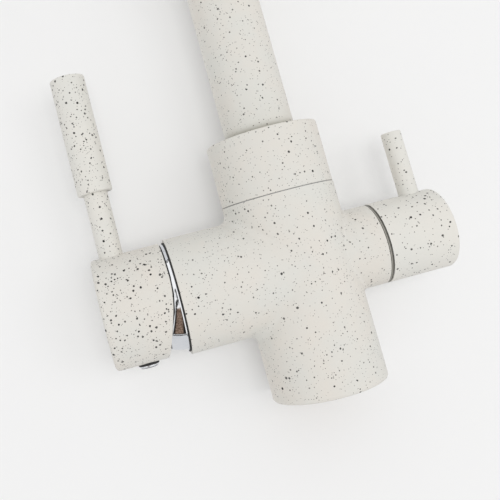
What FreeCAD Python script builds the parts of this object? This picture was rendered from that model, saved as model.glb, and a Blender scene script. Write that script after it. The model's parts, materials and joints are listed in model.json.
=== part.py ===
import FreeCAD, Part
import math
import os

# A three-way kitchen tap: a mixer for hot and cold water on the left arm, a quarter-turn valve for
# filtered water on the right arm, and one swivelling spout with two separate waterways.
# Millimetres. The origin is the centre of the base face, +Z runs up the column, -X towards the mixer,
# +X towards the filter handle, and -Y towards the user, where the spout points at rest.

V = FreeCAD.Vector

# Clearances
PUSH = 0.02            # pushed-in pieces of one assembly
RUN = 0.05             # shafts and rings that turn in a bore
FREE = 0.3             # faces that pass each other without guiding
FILM = 0.05            # water film between ceramic discs
PAST = 1.0             # how far a hole's cutter runs past the surface it opens

# Column and arms
COLUMN_R = 26.0
COLUMN_H = 89.0
BASE_EDGE = 1.5        # rounding of the base rim
TOP_EDGE = 0.2         # small edge break at the seam below the spout
ARM_DOWN = 32.6        # both arm axes, below the column's top
MIXER_ARM_OUT = 30.4   # mixer arm, measured out of the column's side
FILTER_ARM_OUT = 11.1
FILTER_ARM_R = 18.4
JUNCTION_FILLET = 4.0
FILTER_FILLET = 2.4
STUB_PAST = 1.2        # the casting's arm stubs end here, past their fillets
SPIGOT_L = 3.0         # sleeve's spigot in the stub
SPIGOT_WALL = 2.7

# Mixer cartridge, stacked inwards from the end face of the mixer arm
CARTRIDGE_R = 20.0
NUT_DEPTH = 4.4
NUT_R = 22.2
NUT_BORE = 16.6
NUT_BOSS_R = 19.6
NUT_BOSS_OUT = 3.6
NUT_NOTCH_W = 3.0
NUT_NOTCHES = 6
HOUSING_WALL = 3.7
SHOULDER_T = 2.5
NECK_R = 16.0
NECK_OUT = 1.0
ROTOR_R = 12.6
ROTOR_FLANGE_R = 15.0
ROTOR_FLANGE_T = 2.0
ROTOR_OUT = 4.6
SLOT_HALF_W = 4.3
SLOT_HALF_H = 8.5
CARRIER_R = 12.5
CARRIER_T = 6.1
MOVING_DISC_R = 13.0
MOVING_DISC_T = 5.0
MIXING_POCKET_R = 8.0
MIXING_POCKET_T = 2.5
FIXED_DISC_R = 16.0
FIXED_DISC_T = 4.5
CARTRIDGE_BASE_T = 5.0
PORT_R = 3.4
PORT_Y = 7.5           # hot and cold ports, either side of the middle
PORT_DOWN = 5.0        # hot and cold ports below the arm axis
OUTLET_UP = 7.0        # mixed water port above the arm axis
PORT_SEAL_W = 1.6
PORT_SEAL_T = 1.4

# Mixer spindle, which tilts on a pin in the rotor, at the plane of the arm's end face
LEVER_TILT = 18.0      # degrees from closed to fully open
SPINDLE_IN = 11.5      # pin to ball
SPINDLE_SQ = 8.0
SPINDLE_OUT = 26.0     # pin to outer end
SPINDLE_ARM_R = 2.2
BALL_R = 2.5
BALL_SLACK = 0.4
PIVOT_PIN_R = 1.6

# Chrome bonnet: a flange on the arm's end and a dome whose centre is the pivot pin
BONNET_FLANGE_R = 24.2
BONNET_FLANGE_T = 1.2
BONNET_R = 23.5
BONNET_WALL = 1.6
DOME_OUT = 8.0         # the dome's round part ends here
BONNET_OUT = 11.0
BONNET_NOSE_R = 16.5
BONNET_HOLE_R = 12.5

# Mixer cap
MIXER_CAP_R = 24.9
MIXER_CAP_OUT = 33.8   # outer face, from the arm's end face
MOUTH_GAP = 2.6        # upper part of the mouth, from the arm's end face
MOUTH_SLANT = 15.5     # degrees, lower part of the mouth, leaves room for the tilt
MOUTH_KNEE_UP = 2.8
MOUTH_KNEE_R = 60.0
MOUTH_LIP = 1.0        # wall beside the bonnet
CAP_WALL = 3.5
CAP_WIDE_OUT = 10.6    # the wide bore round the bonnet ends here
CAP_DEEP_OUT = 16.1    # the narrower bore ends here
CAP_POCKET_OUT = 29.6
CAP_HUB_R = 10.5
CAP_EDGE = 1.8
SCREW_OUT = 19.3       # set screw and plug, from the arm's end face
SET_SCREW_R = 2.0
SET_SCREW_L = 8.0
HEX_KEY = 2.0          # across flats
HEX_DEPTH = 2.6
PLUG_R = 4.3
PLUG_DEPTH = 2.9
PLUG_PROUD = 1.9
PLUG_EDGE = 1.4
PLUG_BOSS_WALL = 2.0

# Mixer lever
ROD_OUT = 24.1         # lever axis, from the arm's end face
ROD_R = 5.5
ROD_SEAT = 6.9         # rod set into the cap's wall
ROD_THREAD_R = 3.9
ROD_THREAD_L = 10.0
ROD_SHOWN = 29.0
ROD_IN_GRIP = 40.0
ROD_BOSS_WALL = 3.0
GRIP_R = 8.05
GRIP_L = 54.7
GRIP_EDGE = 0.7

# Filter valve, stacked inwards from the end face of the filter arm
VALVE_R = 9.0
VALVE_WALL = 2.5
VALVE_SEAL_T = 2.0
VALVE_SEAL_W = 2.8
VALVE_DISC_T = 3.0
VALVE_FORK_T = 3.0
VALVE_FORK_WALL = 1.0
VALVE_DEPTH = 25.1
VALVE_PORT_R = 1.6
VALVE_PORT_OFF = 3.0
VALVE_WINDOW_R = 2.2
VALVE_FLANGE_R = 12.5
VALVE_FLANGE_T = 4.0
VALVE_NECK_R = 7.0
VALVE_NECK_L = 3.7
SPINDLE_R = 4.0
SPINDLE_REACH = 21.4   # out of the arm's end face
O_RING_R = 0.7
O_RING_IN = (8.0, 5.0)

# Filter handle
TRIM_T = 1.3
TRIM_R = 18.15
FILTER_CAP_R = 18.4
FILTER_CAP_GAP = 0.35
FILTER_CAP_L = 31.15
FILTER_CAP_WALL = 2.4
FILTER_CAP_END = 3.9
FILTER_CAP_EDGE = 1.8
FILTER_HUB_R = 8.0
FILTER_HUB_GAP = 1.2
PIN_OUT = 23.0         # lever pin, from the arm's end face
PIN_R = 4.6
PIN_SHOWN = 29.7
PIN_SEAT = 3.4
PIN_THREAD_R = 2.5
PIN_THREAD_L = 9.5
PIN_BOSS_R = 6.5
PIN_EDGE = 0.5
FILTER_SCREW_OUT = 15.9
FILTER_SCREW_L = 4.0
ACCESS_R = 2.3

# Spout collar and tube
SWIVEL_WASHER_T = 0.4
WASHER_SET_IN = 0.7
COLLAR_SET_IN = 0.15   # collar radius below the column's
COLLAR_H = 28.4
COLLAR_WALL = 3.3
COLLAR_FLOOR = 4.0
COLLAR_TOP = 4.0
COLLAR_EDGE = 0.8
COLLAR_SCREW_UP = 14.0
COLLAR_BOSS_R = 5.0
TUBE_R = 16.2
TUBE_WALL = 1.5
SPOUT_REACH = 210.0
SPOUT_STRAIGHT = 117.0  # straight tube above the collar
SPOUT_DROP = 27.0       # straight tube below the arch, at the outlet

# Spout stem, which turns in the top of the column
STEM_DEPTH = 19.0
STEM_WALL = 3.7
STEM_FLOOR_GAP = 0.6
STEM_UP = 21.0          # stem above the column's top
STEM_BORE_GAP = 0.3
GLIDE_T = 2.5
GLIDE_W = 1.0
GLIDE_DOWN = (16.5, 2.8)
STEM_SEAL_R = 1.2
STEM_SEAL_DOWN = (13.2, 6.6)
RETAINER_DOWN = 9.8
RETAINER_GROOVE_W = 3.4
RETAINER_GROOVE_T = 1.7
RETAINER_R = 2.5
RETAINER_TIP_R = 1.4
RETAINER_IN = 1.5

# Filtered water line
STANDPIPE_R = 3.5
STANDPIPE_BORE = 2.2
STANDPIPE_SET = 7.0
HUB_UP = 2.0            # hub above the column's top
HUB_T = 5.0
HUB_HOLES = 6
HUB_HOLE_WALL = 0.85    # hub wall inside and outside its holes
HUB_SEAL_R = 0.9
HOSE_R = 4.5
HOSE_BORE = 3.0
HOSE_TAIL = 8.0
HUB_ROOF = 1.0           # hub wall above the standpipe
GALLERY_PASSAGE_R = 2.2
GALLERY_UP = 7.6        # passage above the arm axis

# Outlet
OUTLET_LIP = 2.5
OUTLET_LIP_IN = 0.2     # lip radius below the tube's
AERATOR_IN = 10.0
AERATOR_WALL = 3.2
SCREEN_RECESS = 1.5
SCREEN_T = 7.0
SCREEN_RINGS = (0.22, 0.65)  # rings of holes, as shares of the width between nozzle and bore
SCREEN_HOLE_SHARE = 0.143    # hole radius, as a share of the same width
SCREEN_HOLES = (12, 18)
WASHER_T = 1.5
WASHER_W = 4.0
NOZZLE_R = 4.0
NOZZLE_BORE = 2.4
NOZZLE_PROUD = 1.2
NOZZLE_FLANGE_R = 5.2
NOZZLE_FLANGE_T = 1.5

# Base: inlet block with its threads, seals and screws
BLOCK_R = 21.0
BLOCK_T = 22.0
INLET_X = 9.0
INLET_THREAD_R = 4.5
INLET_THREAD_L = 14.0
STUD_X = 2.0
STUD_Y = 14.5
STUD_HOLE_R = 3.35
STUD_HOLE_L = 16.0
BLOCK_SCREW_R = 2.0
BLOCK_SCREW_HEAD_R = 3.5
BLOCK_SCREW_HEAD_T = 4.0
BLOCK_SCREW_SINK = 6.0
BLOCK_SCREW_KEY = 3.0
BLOCK_SCREW_BITE = 8.0
BLOCK_SCREWS = ((-17.0, 0.0), (13.5, 10.5), (13.5, -10.5))
CHANNEL_R = 3.5
GASKET_W = 2.6
GASKET_T = 2.0

# Places worked out from the sizes above
ARM_Z = COLUMN_H - ARM_DOWN
MIXER_ARM_R = COLUMN_R
MIXER_FACE = -(COLUMN_R + MIXER_ARM_OUT)
FILTER_FACE = COLUMN_R + FILTER_ARM_OUT
MIXER_SEAM = -(COLUMN_R + JUNCTION_FILLET + STUB_PAST)
FILTER_SEAM = COLUMN_R + FILTER_FILLET + STUB_PAST
AT_ROTOR_FLANGE = NUT_DEPTH + SHOULDER_T + FREE
AT_CARRIER = AT_ROTOR_FLANGE + ROTOR_FLANGE_T + FREE
AT_MOVING_DISC = AT_CARRIER + CARRIER_T
AT_FIXED_DISC = AT_MOVING_DISC + MOVING_DISC_T + FILM
AT_CARTRIDGE_BASE = AT_FIXED_DISC + FIXED_DISC_T
CHAMBER_DEPTH = AT_CARTRIDGE_BASE + CARTRIDGE_BASE_T
DISC_TRAVEL = SPINDLE_IN * math.sin(math.radians(LEVER_TILT))
DISC_REST = ARM_Z - DISC_TRAVEL / 2
COLLAR_R = COLUMN_R - COLLAR_SET_IN
COLLAR_Z = COLUMN_H + SWIVEL_WASHER_T
COLLAR_TOP_Z = COLLAR_Z + COLLAR_H
TUBE_BORE = TUBE_R - TUBE_WALL
AERATOR_BORE = TUBE_BORE - AERATOR_WALL
SCREEN_WIDTH = AERATOR_BORE - NOZZLE_FLANGE_R
TUBE_Z = COLLAR_Z + COLLAR_FLOOR
ARCH_R = SPOUT_REACH / 2
ARCH_Z = COLLAR_TOP_Z + SPOUT_STRAIGHT
OUTLET_Z = ARCH_Z - SPOUT_DROP
STEM_BORE = TUBE_BORE + STEM_BORE_GAP
STEM_R = TUBE_BORE - PUSH
STEM_FLOOR = COLUMN_H - STEM_DEPTH
GASKET_IN = BLOCK_R + FREE
GASKET_OUT = GASKET_IN + GASKET_W


def along_x(radius, x_from, x_to, y=0.0, z=ARM_Z):
    """Cylinder between two x places."""
    start = min(x_from, x_to)
    return Part.makeCylinder(radius, abs(x_to - x_from), V(start, y, z), V(1, 0, 0))


def along_y(radius, y_from, y_to, x, z):
    """Cylinder between two y places."""
    start = min(y_from, y_to)
    return Part.makeCylinder(radius, abs(y_to - y_from), V(x, start, z), V(0, 1, 0))


def along_z(radius, z_from, z_to, x=0.0, y=0.0):
    """Cylinder between two heights."""
    start = min(z_from, z_to)
    return Part.makeCylinder(radius, abs(z_to - z_from), V(x, y, start), V(0, 0, 1))


def ring_x(outer, inner, x_from, x_to):
    """Ring on the arm axis."""
    return along_x(outer, x_from, x_to).cut(along_x(inner, x_from, x_to))


def ring_z(outer, inner, z_from, z_to, x=0.0, y=0.0):
    """Upright ring."""
    return along_z(outer, z_from, z_to, x, y).cut(along_z(inner, z_from, z_to, x, y))


def block(x_from, x_to, y_from, y_to, z_from, z_to):
    """Box between two corners."""
    return Part.makeBox(x_to - x_from, y_to - y_from, z_to - z_from, V(x_from, y_from, z_from))


def hex_z(across, z_from, z_to, x=0.0, y=0.0):
    """Upright hexagonal bar."""
    corner = across / math.sqrt(3)
    points = []
    for i in range(7):
        turn = math.radians(60 * i)
        points.append(V(x + corner * math.cos(turn), y + corner * math.sin(turn), z_from))
    return Part.Face(Part.makePolygon(points)).extrude(V(0, 0, z_to - z_from))


def mixer(depth):
    """x at a depth into the mixer arm, from its end face. Negative is outside."""
    return MIXER_FACE + depth


def outlet_arm(depth):
    """x at a depth into the filter arm, from its end face. Negative is outside."""
    return FILTER_FACE - depth


def round_rim(shape, radius, axis, place):
    """Round the outer edges of a turned piece that lie in one plane across its axis."""
    edges = []
    for edge in shape.Edges:
        middle = edge.BoundBox.Center
        flat = max(getattr(edge.BoundBox, axis.upper() + "Length"), 0.0) < 0.01
        if flat and abs(getattr(middle, axis) - place) < 0.01:
            edges.append(edge)
    largest = max(edge.Length for edge in edges)
    return shape.makeFillet(radius, [edge for edge in edges if edge.Length > 0.95 * largest])


def save(name, shape):
    """Write one named piece."""
    whole = Part.Compound(shape.Solids) if len(shape.Solids) > 1 else shape.Solids[0]
    print(name, "solids", len(shape.Solids), "valid", whole.isValid(), "volume", round(whole.Volume, 1))
    whole.exportStep("parts/" + name + ".step")


def column_and_arms():
    """Outside of the casting: column, two arm stubs and the fillets where they meet."""
    column = along_z(COLUMN_R, 0, COLUMN_H)
    column = round_rim(column, BASE_EDGE, "z", 0)
    column = round_rim(column, TOP_EDGE, "z", COLUMN_H)
    with_mixer_arm = column.fuse(along_x(MIXER_ARM_R, MIXER_SEAM, 0))
    with_mixer_arm = with_mixer_arm.makeFillet(JUNCTION_FILLET, junction_edges(with_mixer_arm, -1))
    both = with_mixer_arm.fuse(along_x(FILTER_ARM_R, 0, FILTER_SEAM))
    return both.makeFillet(FILTER_FILLET, junction_edges(both, 1))


def junction_edges(shape, side):
    """The curved edges where an arm leaves the column, on one side of it."""
    found = []
    for edge in shape.Edges:
        box = edge.BoundBox
        curved_twice = box.XLength > 0.05 and box.YLength > 0.05 and box.ZLength > 0.05
        if curved_twice and side * box.Center.x > 0 and box.Center.x * side < COLUMN_R + PAST:
            found.append(edge)
    return found


def body_casting():
    """Brass casting with the cartridge chamber, the valve bore, the stem bore and the waterways."""
    body = column_and_arms()
    floor = mixer(CHAMBER_DEPTH)
    low, high = ARM_Z - PORT_DOWN, ARM_Z + OUTLET_UP
    gallery = ARM_Z + GALLERY_UP
    valve_floor = outlet_arm(VALVE_DEPTH)
    window = outlet_arm(VALVE_DEPTH - VALVE_SEAL_T - VALVE_DISC_T * 2 - VALVE_FORK_T / 2)
    holes = [
        along_x(CARTRIDGE_R + FREE, MIXER_SEAM, floor),
        along_x(CARTRIDGE_R + FREE + SPIGOT_WALL + PUSH, MIXER_SEAM, MIXER_SEAM + SPIGOT_L),
        along_x(VALVE_R + PUSH, FILTER_SEAM, valve_floor),
        along_x(VALVE_R + SPIGOT_WALL + PUSH * 2, FILTER_SEAM, FILTER_SEAM - SPIGOT_L),
        along_x(VALVE_R + VALVE_WINDOW_R, window - VALVE_WINDOW_R, window + VALVE_WINDOW_R),
        along_z(STEM_BORE, STEM_FLOOR, COLUMN_H),
        along_z(BLOCK_R + PUSH, 0, BLOCK_T),
        along_z(GASKET_OUT + PUSH, 0, GASKET_T),
        along_x(CHANNEL_R, floor, -INLET_X, 0, high),
        along_z(CHANNEL_R, high, STEM_FLOOR, -INLET_X, 0),
        along_z(CHANNEL_R, BLOCK_T, ARM_Z, INLET_X, 0),
        along_x(CHANNEL_R, INLET_X, valve_floor),
        along_x(GALLERY_PASSAGE_R, 0, window, 0, gallery),
        along_z(STANDPIPE_BORE, gallery, STEM_FLOOR),
        along_z(STANDPIPE_R + PUSH, STEM_FLOOR - STANDPIPE_SET + GALLERY_PASSAGE_R, STEM_FLOOR),
        along_y(RETAINER_R + PUSH, STEM_BORE - PAST, COLUMN_R + PAST, 0, COLUMN_H - RETAINER_DOWN),
    ]
    for side in (-1, 1):
        holes.append(along_z(CHANNEL_R, BLOCK_T, low, -INLET_X, side * PORT_Y))
        holes.append(along_x(CHANNEL_R, floor, -INLET_X, side * PORT_Y, low))
        holes.append(Part.makeSphere(CHANNEL_R, V(-INLET_X, side * PORT_Y, low)))
    for x, y in BLOCK_SCREWS:
        holes.append(along_z(BLOCK_SCREW_R + PUSH, BLOCK_T, BLOCK_T + BLOCK_SCREW_BITE, x, y))
    return body.cut(holes)


def arm_sleeves():
    """Sleeves brazed on the casting's stubs, each set in with a spigot, that carry on the arms."""
    chamber = CARTRIDGE_R + FREE
    sleeve = ring_x(MIXER_ARM_R, chamber, MIXER_FACE, MIXER_SEAM)
    sleeve = sleeve.fuse(ring_x(chamber + SPIGOT_WALL, chamber, MIXER_SEAM, MIXER_SEAM + SPIGOT_L))
    save("mixer_arm_sleeve", sleeve.cut(along_x(NUT_R + PUSH, mixer(0), mixer(NUT_DEPTH))))
    bore = VALVE_R + PUSH
    sleeve = ring_x(FILTER_ARM_R, bore, FILTER_SEAM, FILTER_FACE)
    sleeve = sleeve.fuse(ring_x(bore + SPIGOT_WALL, bore, FILTER_SEAM - SPIGOT_L, FILTER_SEAM))
    save("filter_arm_sleeve", sleeve)


def port_places():
    """Hot, cold and mixed water ports of the cartridge, as y and z."""
    low, high = ARM_Z - PORT_DOWN, ARM_Z + OUTLET_UP
    return [(-PORT_Y, low), (PORT_Y, low), (0, high)]


def cartridge():
    """Everything of the cartridge that stands still."""
    base_x, floor = mixer(AT_CARTRIDGE_BASE), mixer(CHAMBER_DEPTH)
    fixed_x, top_x = mixer(AT_FIXED_DISC), mixer(NUT_DEPTH)
    base = along_x(CARTRIDGE_R, base_x, floor)
    disc = along_x(FIXED_DISC_R, fixed_x, base_x)
    seals = []
    for y, z in port_places():
        base = base.cut(along_x(PORT_R, base_x, floor, y, z))
        base = base.cut(along_x(PORT_R + PORT_SEAL_W + PUSH, floor - PORT_SEAL_T, floor, y, z))
        disc = disc.cut(along_x(PORT_R, fixed_x, base_x, y, z))
        seal = along_x(PORT_R + PORT_SEAL_W, floor - PORT_SEAL_T, floor, y, z)
        seals.append(seal.cut(along_x(PORT_R, floor - PORT_SEAL_T, floor, y, z)))
    inside = CARTRIDGE_R - HOUSING_WALL
    housing = along_x(CARTRIDGE_R, top_x, base_x).fuse(along_x(NECK_R, mixer(-NECK_OUT), top_x))
    housing = housing.cut(along_x(inside, mixer(NUT_DEPTH + SHOULDER_T), base_x))
    housing = housing.cut(along_x(ROTOR_R + RUN, mixer(-NECK_OUT), base_x))
    save("cartridge_base", base)
    save("cartridge_port_seals", Part.Compound(seals))
    save("ceramic_disc_fixed", disc)
    save("cartridge_housing", housing)


def cartridge_nut():
    """Ring nut in the arm's mouth, with spanner notches in its boss."""
    nut = along_x(NUT_R, mixer(0), mixer(NUT_DEPTH))
    nut = nut.fuse(along_x(NUT_BOSS_R, mixer(-NUT_BOSS_OUT), mixer(0)))
    nut = nut.cut(along_x(NUT_BORE, mixer(-NUT_BOSS_OUT), mixer(NUT_DEPTH)))
    for i in range(NUT_NOTCHES // 2):
        notch = block(mixer(-NUT_BOSS_OUT), mixer(-NUT_BOSS_OUT / 2), -NUT_R, NUT_R,
                      ARM_Z - NUT_NOTCH_W / 2, ARM_Z + NUT_NOTCH_W / 2)
        notch.rotate(V(0, 0, ARM_Z), V(1, 0, 0), 360 * i / NUT_NOTCHES)
        nut = nut.cut(notch)
    return nut


def rotor():
    """Turning neck of the cartridge, slotted for the tilting spindle."""
    inner = mixer(AT_ROTOR_FLANGE + ROTOR_FLANGE_T)
    piece = along_x(ROTOR_R, mixer(-ROTOR_OUT), inner)
    piece = piece.fuse(along_x(ROTOR_FLANGE_R, mixer(AT_ROTOR_FLANGE), inner))
    slot = block(mixer(-ROTOR_OUT), inner, -SLOT_HALF_W, SLOT_HALF_W,
                 ARM_Z - SLOT_HALF_H, ARM_Z + SLOT_HALF_H)
    return piece.cut([slot, along_y(PIVOT_PIN_R + PUSH, -ROTOR_R, ROTOR_R, mixer(0), ARM_Z)])


def pivot_pin():
    """Steel pin across the rotor that the spindle tilts on."""
    half = math.sqrt(ROTOR_R ** 2 - PIVOT_PIN_R ** 2) - PUSH
    return along_y(PIVOT_PIN_R, -half, half, mixer(0), ARM_Z)


def moving_disc():
    """Ceramic disc that slides and turns on the fixed one, with its mixing pocket."""
    x_from, x_to = mixer(AT_MOVING_DISC), mixer(AT_FIXED_DISC) - FILM
    disc = along_x(MOVING_DISC_R, x_from, x_to, 0, DISC_REST)
    return disc.cut(along_x(MIXING_POCKET_R, x_to - MIXING_POCKET_T, x_to, 0, DISC_REST))


def disc_carrier():
    """Plastic carrier behind the moving disc, with the socket for the spindle's ball."""
    x_from, x_to = mixer(AT_CARRIER), mixer(AT_MOVING_DISC)
    carrier = along_x(CARRIER_R, x_from, x_to, 0, DISC_REST)
    return carrier.cut(along_x(BALL_R + BALL_SLACK, x_from, mixer(SPINDLE_IN + BALL_R + BALL_SLACK)))


def mixer_spindle():
    """Square spindle with a ball at its inner end and a hole for the pivot pin."""
    half = SPINDLE_SQ / 2
    piece = block(mixer(-SPINDLE_OUT), mixer(half), -half, half, ARM_Z - half, ARM_Z + half)
    piece = piece.fuse(along_x(SPINDLE_ARM_R, mixer(0), mixer(SPINDLE_IN)))
    piece = piece.fuse(Part.makeSphere(BALL_R, V(mixer(SPINDLE_IN), 0, ARM_Z)))
    return piece.cut(along_y(PIVOT_PIN_R + RUN, -SPINDLE_SQ, SPINDLE_SQ, mixer(0), ARM_Z))


def bonnet_profile(shrink, nose_x):
    """Turned solid of the dome, or of its hollow when shrunk by the wall."""
    radius = BONNET_R - shrink
    ball = Part.makeSphere(radius, V(mixer(0), 0, ARM_Z))
    round_part = ball.common(along_x(BONNET_R + PAST, mixer(-DOME_OUT), mixer(-BONNET_FLANGE_T)))
    wide = math.sqrt(radius ** 2 - DOME_OUT ** 2)
    nose = Part.makeCone(wide, BONNET_NOSE_R - shrink, nose_x - DOME_OUT,
                         V(mixer(-DOME_OUT), 0, ARM_Z), V(-1, 0, 0))
    return round_part.fuse(nose)


def mixer_bonnet():
    """Chrome dome over the nut, seen through the gap behind the mixer cap."""
    flange = along_x(BONNET_FLANGE_R, mixer(-BONNET_FLANGE_T), mixer(0))
    piece = flange.fuse(bonnet_profile(0, BONNET_OUT))
    piece = piece.cut(bonnet_profile(BONNET_WALL, BONNET_OUT - BONNET_WALL))
    piece = piece.cut(along_x(NUT_BOSS_R + PUSH, mixer(-BONNET_FLANGE_T), mixer(0)))
    return piece.cut(along_x(BONNET_HOLE_R, mixer(-BONNET_OUT), mixer(0)))


def mouth_cutter():
    """Prism that trims the cap's mouth: upright above the knee, slanted below it."""
    slant = math.radians(MOUTH_SLANT)
    edge_x, knee_z = mixer(-MOUTH_GAP), ARM_Z + MOUTH_KNEE_UP
    reach = MOUTH_KNEE_R * math.tan(slant / 2)
    beyond = 2 * MIXER_CAP_R
    start = V(edge_x, 0, knee_z + reach)
    sag = MOUTH_KNEE_R * (1 - math.cos(slant / 2))
    middle = V(edge_x - sag, 0, start.z - MOUTH_KNEE_R * math.sin(slant / 2))
    end = V(edge_x - reach * math.sin(slant), 0, knee_z - reach * math.cos(slant))
    foot = V(end.x - beyond * math.sin(slant), 0, end.z - beyond * math.cos(slant))
    top = V(edge_x, 0, ARM_Z + beyond)
    right_top, right_foot = V(mixer(beyond), 0, top.z), V(mixer(beyond), 0, foot.z)
    edges = [
        Part.makeLine(top, start),
        Part.Arc(start, middle, end).toShape(),
        Part.makeLine(end, foot),
        Part.makeLine(foot, right_foot),
        Part.makeLine(right_foot, right_top),
        Part.makeLine(right_top, top),
    ]
    face = Part.Face(Part.Wire(edges))
    face.translate(V(0, -beyond, 0))
    return face.extrude(V(0, 2 * beyond, 0))


def mixer_cap():
    """Handle cap: hollow round the bonnet, with a hub for the spindle and bosses for rod and screw."""
    outer = mixer(-MIXER_CAP_OUT)
    cap = round_rim(along_x(MIXER_CAP_R, outer, mixer(0)), CAP_EDGE, "x", outer)
    inner_r = MIXER_CAP_R - CAP_WALL
    pocket = ring_x(inner_r, CAP_HUB_R, mixer(-CAP_POCKET_OUT), mixer(-CAP_DEEP_OUT))
    pocket = pocket.cut([
        along_z(ROD_R + ROD_BOSS_WALL, ARM_Z, ARM_Z + MIXER_CAP_R, mixer(-ROD_OUT)),
        along_z(PLUG_R + PLUG_BOSS_WALL, ARM_Z - MIXER_CAP_R, ARM_Z, mixer(-SCREW_OUT)),
    ])
    half = SPINDLE_SQ / 2 + PUSH
    rod_seat = ARM_Z + MIXER_CAP_R - ROD_SEAT
    plug_seat = ARM_Z - MIXER_CAP_R + PLUG_DEPTH
    return cap.cut([
        mouth_cutter(),
        pocket,
        along_x(MIXER_CAP_R - MOUTH_LIP, mixer(-CAP_WIDE_OUT), mixer(0)),
        along_x(inner_r, mixer(-CAP_DEEP_OUT), mixer(0)),
        block(mixer(-SPINDLE_OUT), mixer(0), -half, half, ARM_Z - half, ARM_Z + half),
        along_z(ROD_R + PUSH, rod_seat, ARM_Z + MIXER_CAP_R + PAST, mixer(-ROD_OUT)),
        along_z(ROD_THREAD_R + PUSH, rod_seat - ROD_THREAD_L, rod_seat, mixer(-ROD_OUT)),
        along_z(SET_SCREW_R + PUSH, plug_seat, ARM_Z, mixer(-SCREW_OUT)),
        along_z(PLUG_R + PUSH, ARM_Z - MIXER_CAP_R - PAST, plug_seat, mixer(-SCREW_OUT)),
    ])


def set_screw_z(radius, z_tip, z_head, x):
    """Grub screw along Z with a hexagon socket in its head."""
    length = z_head - z_tip
    socket = hex_z(HEX_KEY, z_head, z_head - math.copysign(HEX_DEPTH, length), x)
    return along_z(radius, z_tip, z_head, x).cut(socket)


def mixer_plug():
    """Round plug over the set screw, with a domed head that stands out of the cap."""
    bottom = ARM_Z - MIXER_CAP_R - PLUG_PROUD
    return round_rim(along_z(PLUG_R, bottom, bottom + PLUG_PROUD + PLUG_DEPTH, mixer(-SCREW_OUT)),
                     PLUG_EDGE, "z", bottom)


def mixer_lever():
    """Rod and grip of the mixer."""
    x = mixer(-ROD_OUT)
    surface = ARM_Z + MIXER_CAP_R
    seat = surface - ROD_SEAT
    grip_z = surface + ROD_SHOWN
    rod = along_z(ROD_R, seat, grip_z + ROD_IN_GRIP, x)
    rod = rod.fuse(along_z(ROD_THREAD_R, seat - ROD_THREAD_L, seat, x))
    grip = along_z(GRIP_R, grip_z, grip_z + GRIP_L, x)
    grip = round_rim(round_rim(grip, GRIP_EDGE, "z", grip_z), GRIP_EDGE, "z", grip_z + GRIP_L)
    grip = grip.cut(along_z(ROD_R + PUSH, grip_z, grip_z + ROD_IN_GRIP, x))
    save("mixer_lever_rod", rod)
    save("mixer_lever_grip", grip)


def filter_valve():
    """Quarter-turn valve: body, end seal and fixed disc, and the spindle, disc and rings that turn."""
    bore = VALVE_R - VALVE_WALL
    end, seat = outlet_arm(VALVE_DEPTH), outlet_arm(VALVE_DEPTH - VALVE_SEAL_T)
    fixed_end = seat + VALVE_DISC_T
    moving_end = fixed_end + VALVE_DISC_T
    fork_end = moving_end + VALVE_FORK_T
    trim = outlet_arm(-TRIM_T)
    neck_end = trim + VALVE_FLANGE_T + VALVE_NECK_L
    valve = along_x(VALVE_R, seat, trim).fuse(along_x(VALVE_FLANGE_R, trim, trim + VALVE_FLANGE_T))
    valve = valve.fuse(along_x(VALVE_NECK_R, trim, neck_end))
    window = moving_end + VALVE_FORK_T / 2
    valve = valve.cut([
        along_x(bore, seat, fork_end + FREE),
        along_x(SPINDLE_R + RUN, seat, neck_end),
        along_y(VALVE_WINDOW_R, -VALVE_R, VALVE_R, window, ARM_Z),
    ])
    fixed = along_x(bore - PUSH, seat, fixed_end)
    moving = along_x(bore - RUN, fixed_end + FILM, moving_end)
    for side in (-1, 1):
        place = ARM_Z + side * VALVE_PORT_OFF
        fixed = fixed.cut(along_x(VALVE_PORT_R, seat, fixed_end, 0, place))
        moving = moving.cut(along_x(VALVE_PORT_R, fixed_end, moving_end, side * VALVE_PORT_OFF, ARM_Z))
    reach = outlet_arm(-SPINDLE_REACH)
    spindle = along_x(SPINDLE_R, fork_end, reach).fuse(along_x(bore - FREE, moving_end, fork_end))
    spindle = spindle.cut(block(moving_end, fork_end - VALVE_FORK_WALL, -bore, bore,
                                ARM_Z - VALVE_WINDOW_R, ARM_Z + VALVE_WINDOW_R))
    rings = []
    for depth in O_RING_IN:
        middle = outlet_arm(depth)
        groove = ring_x(SPINDLE_R, SPINDLE_R - 2 * O_RING_R, middle - O_RING_R, middle + O_RING_R)
        spindle = spindle.cut(groove)
        rings.append(Part.makeTorus(SPINDLE_R - O_RING_R, O_RING_R - PUSH, V(middle, 0, ARM_Z), V(1, 0, 0)))
    save("filter_valve_body", valve)
    save("filter_valve_seal", ring_x(VALVE_R - FREE, VALVE_R - VALVE_SEAL_W, end, seat))
    save("filter_disc_fixed", fixed)
    save("filter_disc_moving", moving)
    save("filter_spindle", spindle)
    save("filter_spindle_o_rings", Part.Compound(rings))


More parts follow.
